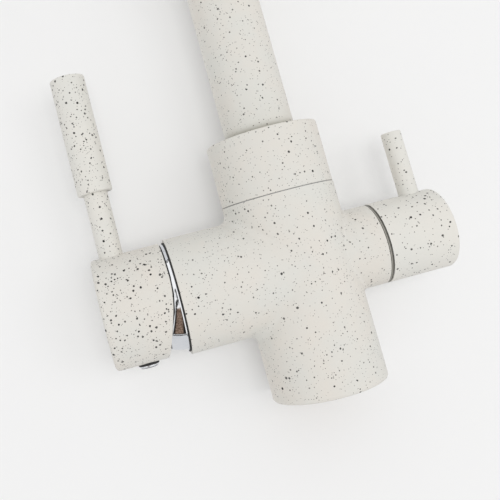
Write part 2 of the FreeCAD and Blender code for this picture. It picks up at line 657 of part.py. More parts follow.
def filter_cap():
    """Handle cap of the filter valve, with its hub and the boss for the lever pin."""
    start = outlet_arm(-TRIM_T - FILTER_CAP_GAP)
    end = start + FILTER_CAP_L
    hub_start = outlet_arm(-TRIM_T) + VALVE_FLANGE_T + VALVE_NECK_L + FILTER_HUB_GAP
    pin_x, screw_x = outlet_arm(-PIN_OUT), outlet_arm(-FILTER_SCREW_OUT)
    pin_seat = ARM_Z + FILTER_CAP_R - PIN_SEAT
    cap = round_rim(along_x(FILTER_CAP_R, start, end), FILTER_CAP_EDGE, "x", end)
    hollow = along_x(FILTER_CAP_R - FILTER_CAP_WALL, start, end - FILTER_CAP_END)
    hub = along_x(FILTER_HUB_R, hub_start, end - FILTER_CAP_END)
    boss = along_z(PIN_BOSS_R, ARM_Z, ARM_Z + FILTER_CAP_R - FILTER_CAP_WALL / 2, pin_x)
    hollow = hollow.cut([hub, boss.common(along_x(FILTER_CAP_R, hub_start, end))])
    return cap.cut([
        hollow,
        along_x(SPINDLE_R + PUSH, hub_start, outlet_arm(-SPINDLE_REACH) + FREE),
        along_z(PIN_R + PUSH, pin_seat, ARM_Z + FILTER_CAP_R + PAST, pin_x),
        along_z(PIN_THREAD_R + PUSH, pin_seat - PIN_THREAD_L, pin_seat, pin_x),
        along_z(SET_SCREW_R + PUSH, ARM_Z - FILTER_HUB_R - PAST, ARM_Z, screw_x),
        along_z(ACCESS_R, ARM_Z - FILTER_CAP_R - PAST, ARM_Z - FILTER_HUB_R - PAST, screw_x),
    ])


def filter_lever_pin():
    """Slim lever of the filter handle."""
    x = outlet_arm(-PIN_OUT)
    seat = ARM_Z + FILTER_CAP_R - PIN_SEAT
    tip = ARM_Z + FILTER_CAP_R + PIN_SHOWN
    pin = round_rim(along_z(PIN_R, seat, tip, x), PIN_EDGE, "z", tip)
    return pin.fuse(along_z(PIN_THREAD_R, seat - PIN_THREAD_L, seat, x))


def spout_stem():
    """Turned brass stem of the spout, with grooves for rings, seals and the retaining screw."""
    stem = ring_z(STEM_R, STEM_R - STEM_WALL, STEM_FLOOR + STEM_FLOOR_GAP, COLUMN_H + STEM_UP)
    seals, glides = [], []
    for down in STEM_SEAL_DOWN:
        z = COLUMN_H - down
        middle = STEM_BORE - RUN - STEM_SEAL_R
        half = STEM_SEAL_R + PUSH
        stem = stem.cut(ring_z(STEM_R + PAST, middle - STEM_SEAL_R, z - half, z + half))
        seals.append(Part.makeTorus(middle, STEM_SEAL_R - PUSH, V(0, 0, z)))
    for down in GLIDE_DOWN:
        z = COLUMN_H - down
        inner = STEM_BORE - RUN - GLIDE_W
        stem = stem.cut(ring_z(STEM_R + PAST, inner - PUSH, z - GLIDE_T / 2, z + GLIDE_T / 2))
        glides.append(ring_z(STEM_BORE - RUN, inner, z - GLIDE_T / 2, z + GLIDE_T / 2))
    z = COLUMN_H - RETAINER_DOWN
    half = RETAINER_GROOVE_W / 2
    stem = stem.cut(ring_z(STEM_R + PAST, STEM_R - RETAINER_GROOVE_T, z - half, z + half))
    save("spout_stem", stem)
    save("stem_o_rings", Part.Compound(seals))
    save("stem_glide_rings", Part.Compound(glides))


def retaining_screw():
    """Grub screw at the back of the column; its tip runs in the stem's groove."""
    z = COLUMN_H - RETAINER_DOWN
    tip_y = STEM_R - RETAINER_GROOVE_T + FREE
    head_y = COLUMN_R - RETAINER_IN
    screw = along_y(RETAINER_R, STEM_BORE + FREE, head_y, 0, z)
    screw = screw.fuse(along_y(RETAINER_TIP_R, tip_y, head_y, 0, z))
    socket = hex_z(HEX_KEY, 0, HEX_DEPTH)
    socket.rotate(V(0, 0, 0), V(1, 0, 0), 90)
    socket.translate(V(0, head_y, z))
    return screw.cut(socket)


def spout_collar():
    """Collar flush with the column, hollow inside, with a floor, a top and a boss for its screw."""
    inner = COLLAR_R - COLLAR_WALL
    collar = along_z(COLLAR_R, COLLAR_Z, COLLAR_TOP_Z)
    collar = round_rim(collar, COLLAR_EDGE, "z", COLLAR_TOP_Z)
    collar = round_rim(collar, TOP_EDGE, "z", COLLAR_Z)
    hollow = along_z(inner, COLLAR_Z + COLLAR_FLOOR, COLLAR_TOP_Z - COLLAR_TOP)
    screw_z = COLLAR_Z + COLLAR_SCREW_UP
    hollow = hollow.cut(along_y(COLLAR_BOSS_R, TUBE_R, inner + PAST, 0, screw_z))
    return collar.cut([
        hollow,
        along_z(STEM_R + PUSH, COLLAR_Z, COLLAR_TOP_Z),
        along_z(TUBE_R + PUSH, TUBE_Z, COLLAR_TOP_Z),
        along_y(RETAINER_R + PUSH, 0, COLLAR_R + PAST, 0, screw_z),
    ])


def collar_screw():
    """Grub screw that locks the tube in the collar, at the back."""
    z = COLLAR_Z + COLLAR_SCREW_UP
    head_y = COLLAR_R - RETAINER_IN
    socket = hex_z(HEX_KEY, 0, HEX_DEPTH)
    socket.rotate(V(0, 0, 0), V(1, 0, 0), 90)
    socket.translate(V(0, head_y, z))
    return along_y(RETAINER_R, TUBE_R + PUSH, head_y, 0, z).cut(socket)


def arched(radius, z_start, z_end):
    """Solid bar along the spout's centre line: up, over the arch towards the user, and down."""
    rise = along_z(radius, z_start, ARCH_Z)
    bend = Part.makeTorus(ARCH_R, radius, V(0, -ARCH_R, ARCH_Z), V(1, 0, 0))
    around = 2 * radius
    upper = block(-around, around, -SPOUT_REACH - around, around, ARCH_Z, ARCH_Z + ARCH_R + around)
    drop = along_z(radius, z_end, ARCH_Z, 0, -SPOUT_REACH)
    return rise.fuse([bend.common(upper), drop])


def spout_tube():
    """Painted tube of the spout."""
    return arched(TUBE_R, TUBE_Z, OUTLET_Z).cut(arched(TUBE_BORE, TUBE_Z, OUTLET_Z))


def filter_line():
    """Standpipe, hub with its seal, and the hose through the spout tube."""
    hub_z = COLUMN_H + HUB_UP
    hub_top = hub_z + HUB_T
    pipe_foot = STEM_FLOOR - STANDPIPE_SET + GALLERY_PASSAGE_R
    seal_z = hub_z + HUB_T / 2
    seal_r = STANDPIPE_R + RUN + HUB_SEAL_R
    hub_r = STEM_R - STEM_WALL - PUSH
    hole_from, hole_to = seal_r + HUB_SEAL_R + HUB_HOLE_WALL, hub_r - HUB_HOLE_WALL
    hole_r, hole_pitch = (hole_to - hole_from) / 2, (hole_to + hole_from) / 2
    hub = along_z(hub_r, hub_z, hub_top).fuse(along_z(HOSE_BORE - PUSH, hub_top, hub_top + HOSE_TAIL))
    cuts = [
        along_z(STANDPIPE_R + RUN, hub_z, hub_top - HUB_ROOF),
        along_z(STANDPIPE_BORE, hub_z, hub_top + HOSE_TAIL),
        along_z(seal_r + HUB_SEAL_R, seal_z - HUB_SEAL_R, seal_z + HUB_SEAL_R),
    ]
    for i in range(HUB_HOLES):
        turn = 2 * math.pi * i / HUB_HOLES
        place = (hole_pitch * math.cos(turn), hole_pitch * math.sin(turn))
        cuts.append(along_z(hole_r, hub_z, hub_top, *place))
    save("filter_standpipe", ring_z(STANDPIPE_R, STANDPIPE_BORE, pipe_foot, hub_top - HUB_ROOF - FREE))
    save("hose_hub", hub.cut(cuts))
    save("standpipe_o_ring", Part.makeTorus(seal_r, HUB_SEAL_R - PUSH, V(0, 0, seal_z)))
    low, high = hub_top + PUSH, OUTLET_Z + AERATOR_IN
    save("filter_hose", arched(HOSE_R, low, high).cut(arched(HOSE_BORE, low, high)))


def outlet():
    """Outlet of the spout: housing, screen, washer and the nozzle for filtered water."""
    y = -SPOUT_REACH
    lip = OUTLET_Z - OUTLET_LIP
    top = OUTLET_Z + AERATOR_IN
    screen_z = lip + SCREEN_RECESS
    screen_top = screen_z + SCREEN_T
    housing = along_z(TUBE_BORE - PUSH, lip, top, 0, y)
    housing = housing.fuse(along_z(TUBE_R - OUTLET_LIP_IN, lip, OUTLET_Z, 0, y))
    housing = round_rim(housing, TOP_EDGE, "z", lip)
    housing = housing.cut(along_z(AERATOR_BORE, lip, top, 0, y))
    screen = along_z(AERATOR_BORE - PUSH, screen_z, screen_top, 0, y)
    holes = [along_z(NOZZLE_R + PUSH, screen_z, screen_top, 0, y)]
    for share, count in zip(SCREEN_RINGS, SCREEN_HOLES):
        pitch = NOZZLE_FLANGE_R + share * SCREEN_WIDTH
        for i in range(count):
            turn = 2 * math.pi * i / count
            place = (pitch * math.cos(turn), y + pitch * math.sin(turn))
            holes.append(along_z(SCREEN_HOLE_SHARE * SCREEN_WIDTH, screen_z, screen_top, *place))
    nozzle = along_z(NOZZLE_R, screen_z - NOZZLE_PROUD, screen_top, 0, y)
    nozzle = nozzle.fuse(along_z(NOZZLE_FLANGE_R, screen_top, screen_top + NOZZLE_FLANGE_T, 0, y))
    nozzle = nozzle.fuse(along_z(HOSE_BORE - PUSH, screen_top, top + HOSE_TAIL, 0, y))
    nozzle = nozzle.cut(along_z(NOZZLE_BORE, screen_z - NOZZLE_PROUD, top + HOSE_TAIL, 0, y))
    save("aerator_housing", housing)
    save("aerator_screen", screen.cut(holes))
    save("filter_nozzle", nozzle)
    save("aerator_washer", ring_z(TUBE_BORE - PUSH, TUBE_BORE - WASHER_W, top, top + WASHER_T, 0, y))


def inlet_places():
    """Hot, cold and filtered water inlets, as x and y."""
    return [(-INLET_X, -PORT_Y), (-INLET_X, PORT_Y), (INLET_X, 0)]


def inlet_block():
    """Brass block in the base with the inlet threads and the holes for the fixing studs."""
    piece = along_z(BLOCK_R, 0, BLOCK_T)
    holes, seals, screws = [], [], []
    seal_r = INLET_THREAD_R + PORT_SEAL_W
    for x, y in inlet_places():
        holes.append(along_z(INLET_THREAD_R, 0, INLET_THREAD_L, x, y))
        holes.append(along_z(CHANNEL_R, 0, BLOCK_T, x, y))
        holes.append(along_z(seal_r + PUSH, BLOCK_T - PORT_SEAL_T, BLOCK_T, x, y))
        seals.append(ring_z(seal_r, INLET_THREAD_R, BLOCK_T - PORT_SEAL_T, BLOCK_T, x, y))
    for side in (-1, 1):
        holes.append(along_z(STUD_HOLE_R, 0, STUD_HOLE_L, STUD_X, side * STUD_Y))
    head_z = BLOCK_SCREW_SINK
    head_foot = head_z - BLOCK_SCREW_HEAD_T
    for x, y in BLOCK_SCREWS:
        holes.append(along_z(BLOCK_SCREW_HEAD_R + FREE, 0, head_z, x, y))
        holes.append(along_z(BLOCK_SCREW_R + PUSH, head_z, BLOCK_T, x, y))
        screw = along_z(BLOCK_SCREW_R, head_foot, BLOCK_T + BLOCK_SCREW_BITE - FREE, x, y)
        screw = screw.fuse(along_z(BLOCK_SCREW_HEAD_R, head_foot, head_z, x, y))
        key_top = head_foot + BLOCK_SCREW_HEAD_T / 2
        screws.append(screw.cut(hex_z(BLOCK_SCREW_KEY, head_foot, key_top, x, y)))
    save("inlet_block", piece.cut(holes))
    save("inlet_seals", Part.Compound(seals))
    save("inlet_block_screws", Part.Compound(screws))


def main():
    os.makedirs("parts", exist_ok=True)
    save("body_casting", body_casting())
    arm_sleeves()
    save("base_gasket", ring_z(GASKET_OUT, GASKET_IN, 0, GASKET_T))
    inlet_block()
    cartridge()
    save("cartridge_nut", cartridge_nut())
    save("cartridge_rotor", rotor())
    save("cartridge_pivot_pin", pivot_pin())
    save("ceramic_disc_moving", moving_disc())
    save("disc_carrier", disc_carrier())
    save("mixer_spindle", mixer_spindle())
    save("mixer_bonnet", mixer_bonnet())
    save("mixer_cap", mixer_cap())
    spindle_foot = ARM_Z - SPINDLE_SQ / 2
    save("mixer_set_screw", set_screw_z(SET_SCREW_R, spindle_foot, spindle_foot - SET_SCREW_L,
                                        mixer(-SCREW_OUT)))
    save("mixer_plug", mixer_plug())
    mixer_lever()
    filter_valve()
    save("filter_trim_ring", ring_x(TRIM_R, VALVE_R + PUSH, outlet_arm(0), outlet_arm(-TRIM_T)))
    save("filter_cap", filter_cap())
    save("filter_lever_pin", filter_lever_pin())
    screw_top = ARM_Z - SPINDLE_R - PUSH
    save("filter_set_screw", set_screw_z(SET_SCREW_R, screw_top, screw_top - FILTER_SCREW_L,
                                         outlet_arm(-FILTER_SCREW_OUT)))
    washer_r = COLUMN_R - WASHER_SET_IN
    save("swivel_washer", ring_z(washer_r, STEM_BORE + FREE, COLUMN_H, COLLAR_Z))
    spout_stem()
    save("spout_retaining_screw", retaining_screw())
    save("spout_collar", spout_collar())
    save("collar_set_screw", collar_screw())
    save("spout_tube", spout_tube())
    filter_line()
    outlet()


main()
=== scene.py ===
# %% [markdown]
# This lesson dresses a three-way kitchen tap. Its parts come from the imported CAD model, each one
# already at its real size and place, so the work here is finish, light and small visible detail.
# The model is loaded first.

# %% Load the frame
import json
import math
import bpy
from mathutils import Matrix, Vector


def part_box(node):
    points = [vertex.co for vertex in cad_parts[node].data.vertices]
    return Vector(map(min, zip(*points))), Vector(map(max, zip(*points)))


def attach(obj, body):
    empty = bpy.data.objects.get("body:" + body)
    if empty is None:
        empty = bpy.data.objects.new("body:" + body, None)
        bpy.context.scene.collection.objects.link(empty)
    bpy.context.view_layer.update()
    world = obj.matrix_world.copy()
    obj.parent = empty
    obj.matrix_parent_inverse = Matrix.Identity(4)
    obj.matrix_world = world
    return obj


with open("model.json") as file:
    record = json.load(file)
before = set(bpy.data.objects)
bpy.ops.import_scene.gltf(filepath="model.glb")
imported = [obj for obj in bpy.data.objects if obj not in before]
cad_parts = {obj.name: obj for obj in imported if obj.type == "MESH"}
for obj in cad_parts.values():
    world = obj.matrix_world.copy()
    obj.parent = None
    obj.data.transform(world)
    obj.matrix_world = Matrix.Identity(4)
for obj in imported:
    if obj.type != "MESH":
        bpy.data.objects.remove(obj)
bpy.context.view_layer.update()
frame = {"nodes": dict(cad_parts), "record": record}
MM = 0.001

# %% [markdown]
# The tap was photographed lying on a white table, from above. In the tap's own frame, where it stands
# up, that table is a wall that touches the back of the column, and the camera looks along +Y and
# leans to one side. The camera's place, turn and lens were fitted to edges seen in the photograph.
# The photograph is cut out of a larger one, so its middle isn't where the lens points: a small shift
# of the lens does that, small enough that views from other sides still hold the whole tap.

# %% Camera
CAMERA_PLACE = (-78.9 * MM, -326.2 * MM, 72.8 * MM)
CAMERA_TURN = (96.035, 14.550, -3.497)
LENS = 51.95
SENSOR_WIDTH = 36.0
LENS_SHIFT = (0.176, -0.128)

lens = bpy.data.cameras.new("photo_lens")
lens.sensor_width = SENSOR_WIDTH
lens.lens = LENS
lens.shift_x, lens.shift_y = LENS_SHIFT
lens.clip_start = 0.01
camera = bpy.data.objects.new("photo_camera", lens)
camera.location = CAMERA_PLACE
camera.rotation_euler = [math.radians(turn) for turn in CAMERA_TURN]
bpy.context.scene.collection.objects.link(camera)
bpy.context.scene.camera = camera
bpy.context.scene.view_settings.view_transform = "Standard"
print("camera looks along", tuple(round(c, 3) for c in camera.rotation_euler.to_matrix().col[2] * -1))

# %% [markdown]
# Colours are written as they look on a screen, from 0 to 255, and turned into the linear values that
# Blender's shaders work with. Node trees need many small nodes, so one helper adds a node, sets its
# fields and links its inputs, whichever of the two a value is. The helpers after it are sums, soft
# steps and soft lines, which all the materials and the surroundings are built from.

# %% Helpers for colours and nodes
def linear(red, green, blue):
    """A screen colour as the linear colour of a shader socket."""
    values = []
    for part in (red, green, blue):
        share = part / 255
        values.append(share / 12.92 if share <= 0.04045 else ((share + 0.055) / 1.055) ** 2.4)
    return (*values, 1.0)


def grey(level):
    """A neutral screen colour."""
    return linear(level, level, level)


def add(tree, kind, inputs=None, **fields):
    """Add a node, set its fields, then set or link the inputs, which are named or numbered."""
    node = tree.nodes.new(kind)
    for name, value in fields.items():
        setattr(node, name, value)
    for key, value in (inputs or {}).items():
        if isinstance(value, bpy.types.NodeSocket):
            tree.links.new(value, node.inputs[key])
        else:
            node.inputs[key].default_value = value
    return node


def calc(tree, operation, first, second=0.0):
    """One sum on values or sockets; gives its result socket."""
    return add(tree, "ShaderNodeMath", {0: first, 1: second}, operation=operation).outputs[0]


def scaled(tree, value, factor, offset):
    """A value times a factor, plus an offset."""
    node = add(tree, "ShaderNodeMath", {0: value, 1: factor, 2: offset}, operation="MULTIPLY_ADD")
    return node.outputs[0]


def between(tree, value, first, last, low=0.0, high=1.0):
    """A soft step from the low result at the first value to the high one at the last."""
    node = add(tree, "ShaderNodeMapRange",
               {"Value": value, "From Min": first, "From Max": last, "To Min": low, "To Max": high})
    return node.outputs[0]


def near(tree, value, place, half):
    """A soft line round one value; at its half width from there it is half as strong."""
    away = calc(tree, "ABSOLUTE", calc(tree, "SUBTRACT", value, place))
    return between(tree, away, half * 1.5, half * 0.5)


def blend_colour(tree, share, first, second):
    """A colour between two colours, as a socket."""
    node = add(tree, "ShaderNodeMix", {"Factor": share}, data_type="RGBA")
    for socket, value in ((node.inputs[6], first), (node.inputs[7], second)):
        if isinstance(value, bpy.types.NodeSocket):
            tree.links.new(value, socket)
        else:
            socket.default_value = value
    return node.outputs[2]


def new_material(name):
    """A material with its node tree and its Principled shader."""
    material = bpy.data.materials.new(name)
    material.use_nodes = True
    tree = material.node_tree
    shader = tree.nodes["Principled BSDF"]
    return material, tree, shader


print("middle grey on a screen is", round(grey(128)[0], 3), "as a linear value")

# %% [markdown]
# The table is a large plain plane behind the tap. It takes the tap's shadow. In the photograph the
# table is almost white and its shadows are thin, so what the camera sees of it is lit table with a
# small share of its plain colour. Chrome sees it at one level. Seen from behind it disappears, and
# lamps behind it shine through on what is seen directly, so that the back of the tap can be looked at
# too. Backfacing tells the table's two sides apart, and Light Path tells who is looking: its Ray
# Depth counts how often a ray has been turned, so it stays below 1.5 for what is seen directly.

# %% Table behind the tap
TABLE_Y = 26.2 * MM
TABLE_SIZE = 60.0
BACKDROP = grey(244)
PLAIN_SHARE = 0.15
TABLE_IN_CHROME = linear(213, 214, 216)
SEEN_DIRECTLY = 1.5


def table_material():
    """Pale table, clear from behind and for the lamps there."""
    material, tree, shader = new_material("pale_table")
    shader.inputs["Base Color"].default_value = BACKDROP
    shader.inputs["Roughness"].default_value = 0.9
    shader.inputs["Specular IOR Level"].default_value = 0.0
    path = add(tree, "ShaderNodeLightPath").outputs
    plain = add(tree, "ShaderNodeEmission", {"Color": BACKDROP})
    plain_share = calc(tree, "MULTIPLY", path["Is Camera Ray"], PLAIN_SHARE)
    seen = add(tree, "ShaderNodeMixShader", {0: plain_share, 1: shader.outputs[0], 2: plain.outputs[0]})
    mirrored = add(tree, "ShaderNodeEmission", {"Color": TABLE_IN_CHROME})
    lit = add(tree, "ShaderNodeMixShader",
              {0: path["Is Glossy Ray"], 1: seen.outputs[0], 2: mirrored.outputs[0]})
    behind = add(tree, "ShaderNodeNewGeometry").outputs["Backfacing"]
    first_hit = calc(tree, "LESS_THAN", path["Ray Depth"], SEEN_DIRECTLY)
    direct = calc(tree, "MULTIPLY", path["Is Shadow Ray"], first_hit)
    clear = add(tree, "ShaderNodeBsdfTransparent").outputs[0]
    mix = add(tree, "ShaderNodeMixShader",
              {0: calc(tree, "MAXIMUM", behind, direct), 1: lit.outputs[0], 2: clear})
    tree.links.new(mix.outputs[0], tree.nodes["Material Output"].inputs[0])
    return material


bpy.ops.mesh.primitive_plane_add(size=TABLE_SIZE, location=(0, TABLE_Y, 0), rotation=(math.pi / 2, 0, 0))
table = bpy.context.object
table.name = "table"
table.data.materials.append(table_material())
print("table", [round(d, 2) for d in table.dimensions])

# %% [markdown]
# Chrome shows what stands round it, and the dome behind the mixer cap shows a simple room in the
# photograph: white, with a grained brown card below the tap that widens downwards. Two dark lines meet
# over the card like the arms of a Y and run down its sides, and two thin ones lie where the table ends.
# All of it is drawn by the way that a mirrored ray goes: across, in depth and in height. Each pair of
# numbers here says where along one of them a soft step starts and ends.

# %% Room that the chrome sees
CARD_BROWNS = (linear(102, 84, 72), linear(150, 128, 113))
CARD_GRAIN = 18.0
CARD_MOTTLE = (0.4, 0.6)
CARD_TOP = (-0.34, -0.40)
CARD_SIDE = (-0.01, 0.01)
FRONT = (-0.07, -0.11)
LEFT_SIDE, LEFT_LEAN = -0.085, 0.27
STEM_SIDE, RIGHT_SIDE = -0.08, -0.05
STEM_BEND = (-0.05, -0.28)
DARK_EDGE = grey(30)
LINE_HALF = 0.03
LEFT_LINE_FROM = (-0.04, -0.08)
RIGHT_LINE_FROM = (0.34, 0.30)
TABLE_ENDS = ((-0.09, 0.022), (-0.02, 0.026))


def room_colour(tree, view):
    """What chrome sees of the room, by the way that it looks."""
    across, depth, height = add(tree, "ShaderNodeSeparateXYZ", {0: view}).outputs
    front = between(tree, depth, *FRONT)
    left_side = scaled(tree, height, LEFT_LEAN, LEFT_SIDE)
    right_side = scaled(tree, between(tree, height, *STEM_BEND), RIGHT_SIDE - STEM_SIDE, STEM_SIDE)
    from_left = calc(tree, "SUBTRACT", across, left_side)
    from_right = calc(tree, "SUBTRACT", right_side, across)
    past_left = between(tree, from_left, *CARD_SIDE)
    past_right = between(tree, from_right, *CARD_SIDE)
    inside = calc(tree, "MULTIPLY", past_left, past_right)
    low = between(tree, height, *CARD_TOP)
    card = calc(tree, "MULTIPLY", calc(tree, "MULTIPLY", low, inside), front)
    left_line = near(tree, from_left, 0.0, LINE_HALF)
    left = calc(tree, "MULTIPLY", left_line, between(tree, height, *LEFT_LINE_FROM))
    right_line = near(tree, from_right, 0.0, LINE_HALF)
    right = calc(tree, "MULTIPLY", right_line, between(tree, height, *RIGHT_LINE_FROM))
    edges = calc(tree, "MULTIPLY", calc(tree, "MAXIMUM", left, right), front)
    ends = calc(tree, "MAXIMUM", *(near(tree, depth, place, half) for place, half in TABLE_ENDS))
    grain = add(tree, "ShaderNodeTexNoise", {"Vector": view, "Scale": CARD_GRAIN, "Detail": 2.0})
    brown = blend_colour(tree, between(tree, grain.outputs[0], *CARD_MOTTLE), *CARD_BROWNS)
    room = blend_colour(tree, card, grey(255), brown)
    return blend_colour(tree, calc(tree, "MAXIMUM", edges, ends), room, DARK_EDGE)


print("mirrored card below", CARD_TOP[0], "and table ends at", [place for place, half in TABLE_ENDS])

# %% [markdown]
# Soft daylight comes from all round, a little brighter near the table's own plane, where a room's
# walls and windows are. A large lamp straight over the table keeps the shadows short and dark at the
# edges, and a weak window on the right gives them their side. What looks straight at the
# surroundings sees the table's own colour, so no edge shows where it ends, and chrome sees the room.
# Two lamps stand behind the table for the views from the back. Each lamp is given by its place and by
# how bright it makes a white face at the tap.

# %% Daylight and lamps
AROUND_LEVEL = 0.666
AROUND_RIM, RIM_FALL = 0.32, 2.0
LAMPS = {"overhead": (Vector((0, -1.6, 0.08)), 0.232),
         "window": (Vector((0.8, -1.386, 0.05)), 0.095),
         "behind_right": (Vector((0.5, 1.3, 0.6)), 0.33),
         "behind_left": (Vector((-0.5, 1.3, 0.3)), 0.33)}
LAMP_SIZE = 0.7
TAP_MIDDLE = Vector((0, 0, 80 * MM))


def surroundings():
    """World light, a plain backdrop for the camera and a room for the chrome."""
    world = bpy.data.worlds.new("daylight")
    world.use_nodes = True
    tree = world.node_tree
    tree.nodes.clear()
    path = add(tree, "ShaderNodeLightPath").outputs
    view = add(tree, "ShaderNodeTexCoord").outputs["Generated"]
    depth = add(tree, "ShaderNodeSeparateXYZ", {0: view}).outputs[1]
    wall = calc(tree, "POWER", calc(tree, "SUBTRACT", 1.0, calc(tree, "ABSOLUTE", depth)), RIM_FALL)
    level = scaled(tree, wall, AROUND_RIM, AROUND_LEVEL)
    light = add(tree, "ShaderNodeBackground", {"Color": grey(255), "Strength": level})
    room = add(tree, "ShaderNodeBackground", {"Color": room_colour(tree, view)})
    backdrop = add(tree, "ShaderNodeBackground", {"Color": BACKDROP})
    unseen = add(tree, "ShaderNodeMixShader",
                 {0: path["Is Glossy Ray"], 1: light.outputs[0], 2: room.outputs[0]})
    whole = add(tree, "ShaderNodeMixShader",
                {0: path["Is Camera Ray"], 1: unseen.outputs[0], 2: backdrop.outputs[0]})
    add(tree, "ShaderNodeOutputWorld", {0: whole.outputs[0]})
    # This light is smooth, so rays find it by themselves, without a map of its bright places.
    world.cycles.sampling_method = "NONE"
    bpy.context.scene.world = world


def lamp(name, place, size, level):
    """A square lamp aimed at the tap; level is the brightness that it gives a white face there."""
    light = bpy.data.lights.new(name, "AREA")
    light.size = size
    away = TAP_MIDDLE - place
    light.energy = level * math.pi ** 2 * away.length_squared
    thing = bpy.data.objects.new(name, light)
    thing.location = place
    thing.rotation_euler = away.to_track_quat("-Z", "Y").to_euler()
    thing.visible_glossy = False
    bpy.context.scene.collection.objects.link(thing)
    print(name, "watts", round(light.energy, 1))


surroundings()
for name, (place, level) in LAMPS.items():
    lamp(name, place, LAMP_SIZE, level)

# %% [markdown]
# The coating is an off-white paint with dark chips in it. Each chip layer is a Voronoi texture: every
# cell holds one point, and the paint is dark where the surface passes close to that point. Because
# the cells are solid, the surface cuts some chips in the middle and others near their rim, which
# gives the natural spread of sizes. A cell's random colour says whether it holds a chip at all, how
# large it is and how dark. A slow noise makes chips crowd in some places and thin out in others, as
# sprayed ones do, and bending the coordinates a little first makes them ragged.

# %% Chip layer, as a node group
RAG_RATE = 3.0
CROWD_RATE = 0.2
CLOUD_NOISE = (0.35, 0.65)
CROWD_TIMES = (0.45, 1.55)
SMALLEST_CHIP = 0.6
CHIP_EDGE = 0.85


def new_group(name, inputs, outputs):
    """A shader node group with named sockets."""
    group = bpy.data.node_groups.new(name, "ShaderNodeTree")
    for kind, names in (("INPUT", inputs), ("OUTPUT", outputs)):
        for socket_name, socket_type in names:
            group.interface.new_socket(socket_name, in_out=kind, socket_type="NodeSocket" + socket_type)
    start = add(group, "NodeGroupInput")
    end = add(group, "NodeGroupOutput")
    return group, start, end


def noise(tree, place, rate, detail):
    """A noise texture of one fineness."""
    return add(tree, "ShaderNodeTexNoise", {"Vector": place, "Scale": rate, "Detail": detail})


def chip_group():
    """Mask and tone of one layer of chips."""
    group, start, end = new_group(
        "chips",
        (("Vector", "Vector"), ("Cell", "Float"), ("Radius", "Float"), ("Share", "Float"),
         ("Ragged", "Float")),
        (("Mask", "Float"), ("Tone", "Float")))
    given = start.outputs
    rate = calc(group, "DIVIDE", 1.0, given["Cell"])
    rough = noise(group, given["Vector"], calc(group, "MULTIPLY", rate, RAG_RATE), 1.0)
    centred = add(group, "ShaderNodeVectorMath", {0: rough.outputs["Color"], 1: (0.5, 0.5, 0.5)},
                  operation="SUBTRACT")
    reach = calc(group, "MULTIPLY", given["Ragged"], given["Radius"])
    bent = add(group, "ShaderNodeVectorMath", {0: centred.outputs[0], "Scale": reach}, operation="SCALE")
    place = add(group, "ShaderNodeVectorMath", {0: given["Vector"], 1: bent.outputs[0]}, operation="ADD")
    cells = add(group, "ShaderNodeTexVoronoi", {"Vector": place.outputs[0], "Scale": rate})
    chance = add(group, "ShaderNodeSeparateColor", {0: cells.outputs["Color"]}).outputs
    slow = noise(group, given["Vector"], calc(group, "MULTIPLY", rate, CROWD_RATE), 0.0)
    crowd = between(group, slow.outputs[0], *CLOUD_NOISE, *CROWD_TIMES)
    held = calc(group, "LESS_THAN", chance[0], calc(group, "MULTIPLY", given["Share"], crowd))
    spread = scaled(group, chance[1], 1.0 - SMALLEST_CHIP, SMALLEST_CHIP)
    radius = calc(group, "MULTIPLY", calc(group, "MULTIPLY", given["Radius"], rate), spread)
    edge = add(group, "ShaderNodeMapRange",
               {"Value": cells.outputs["Distance"], "From Min": radius,
                "From Max": calc(group, "MULTIPLY", radius, CHIP_EDGE)}, interpolation_type="SMOOTHSTEP")
    group.links.new(calc(group, "MULTIPLY", edge.outputs[0], held), end.inputs["Mask"])
    group.links.new(chance[2], end.inputs["Tone"])
    return group


CHIPS = chip_group()
print("group", CHIPS.name, [s.name for s in CHIPS.interface.items_tree])

# %% [markdown]
# The paint under the chips isn't one flat colour either. Large soft clouds drift between a warm and
# a cool tint, and a fine orange-peel relief breaks up the shine. Both are small groups, because nearly
# every finish here uses them with its own values: the clouds for its tint and its shine, and the
# relief for its skin.

# %% Cloud and relief groups
CLOUD_ROUGHNESS = 0.6
FINE_SHARE, BROAD_RATE = 0.5, 0.2


def cloud_group():
    """Tint that drifts between two colours over the surface."""
    group, start, end = new_group(
        "clouds", (("Vector", "Vector"), ("Size", "Float"), ("First", "Color"), ("Second", "Color")),
        (("Color", "Color"),))
    given = start.outputs
    cloud = noise(group, given["Vector"], calc(group, "DIVIDE", 1.0, given["Size"]), 3.0)
    cloud.inputs["Roughness"].default_value = CLOUD_ROUGHNESS
    share = between(group, cloud.outputs[0], *CLOUD_NOISE)
    group.links.new(blend_colour(group, share, given["First"], given["Second"]), end.inputs["Color"])
    return group


def relief_group():
    """Height of a sprayed or cast surface, from two sizes of grain."""
    group, start, end = new_group(
        "relief", (("Vector", "Vector"), ("Grain", "Float")), (("Height", "Float"),))
    rate = calc(group, "DIVIDE", 1.0, start.outputs["Grain"])
    fine = noise(group, start.outputs["Vector"], rate, 2.0)
    broad = noise(group, start.outputs["Vector"], calc(group, "MULTIPLY", rate, BROAD_RATE), 1.0)
    fine_part = calc(group, "MULTIPLY", fine.outputs[0], FINE_SHARE)
    group.links.new(calc(group, "ADD", fine_part, broad.outputs[0]), end.inputs["Height"])
    return group


CLOUDS = cloud_group()
RELIEF = relief_group()


def place_group(tree, group, inputs):
    """A group placed in a material with its own values; gives its outputs."""
    return add(tree, "ShaderNodeGroup", inputs, node_tree=group).outputs


def tinted(tree, place, size, first, second):
    """A colour that drifts between two."""
    return place_group(tree, CLOUDS, {"Vector": place, "Size": size, "First": first, "Second": second})[0]


def drifting(tree, place, size, first, second):
    """A value that drifts between two, made as a colour whose parts are equal."""
    return tinted(tree, place, size, (first, first, first, 1.0), (second, second, second, 1.0))


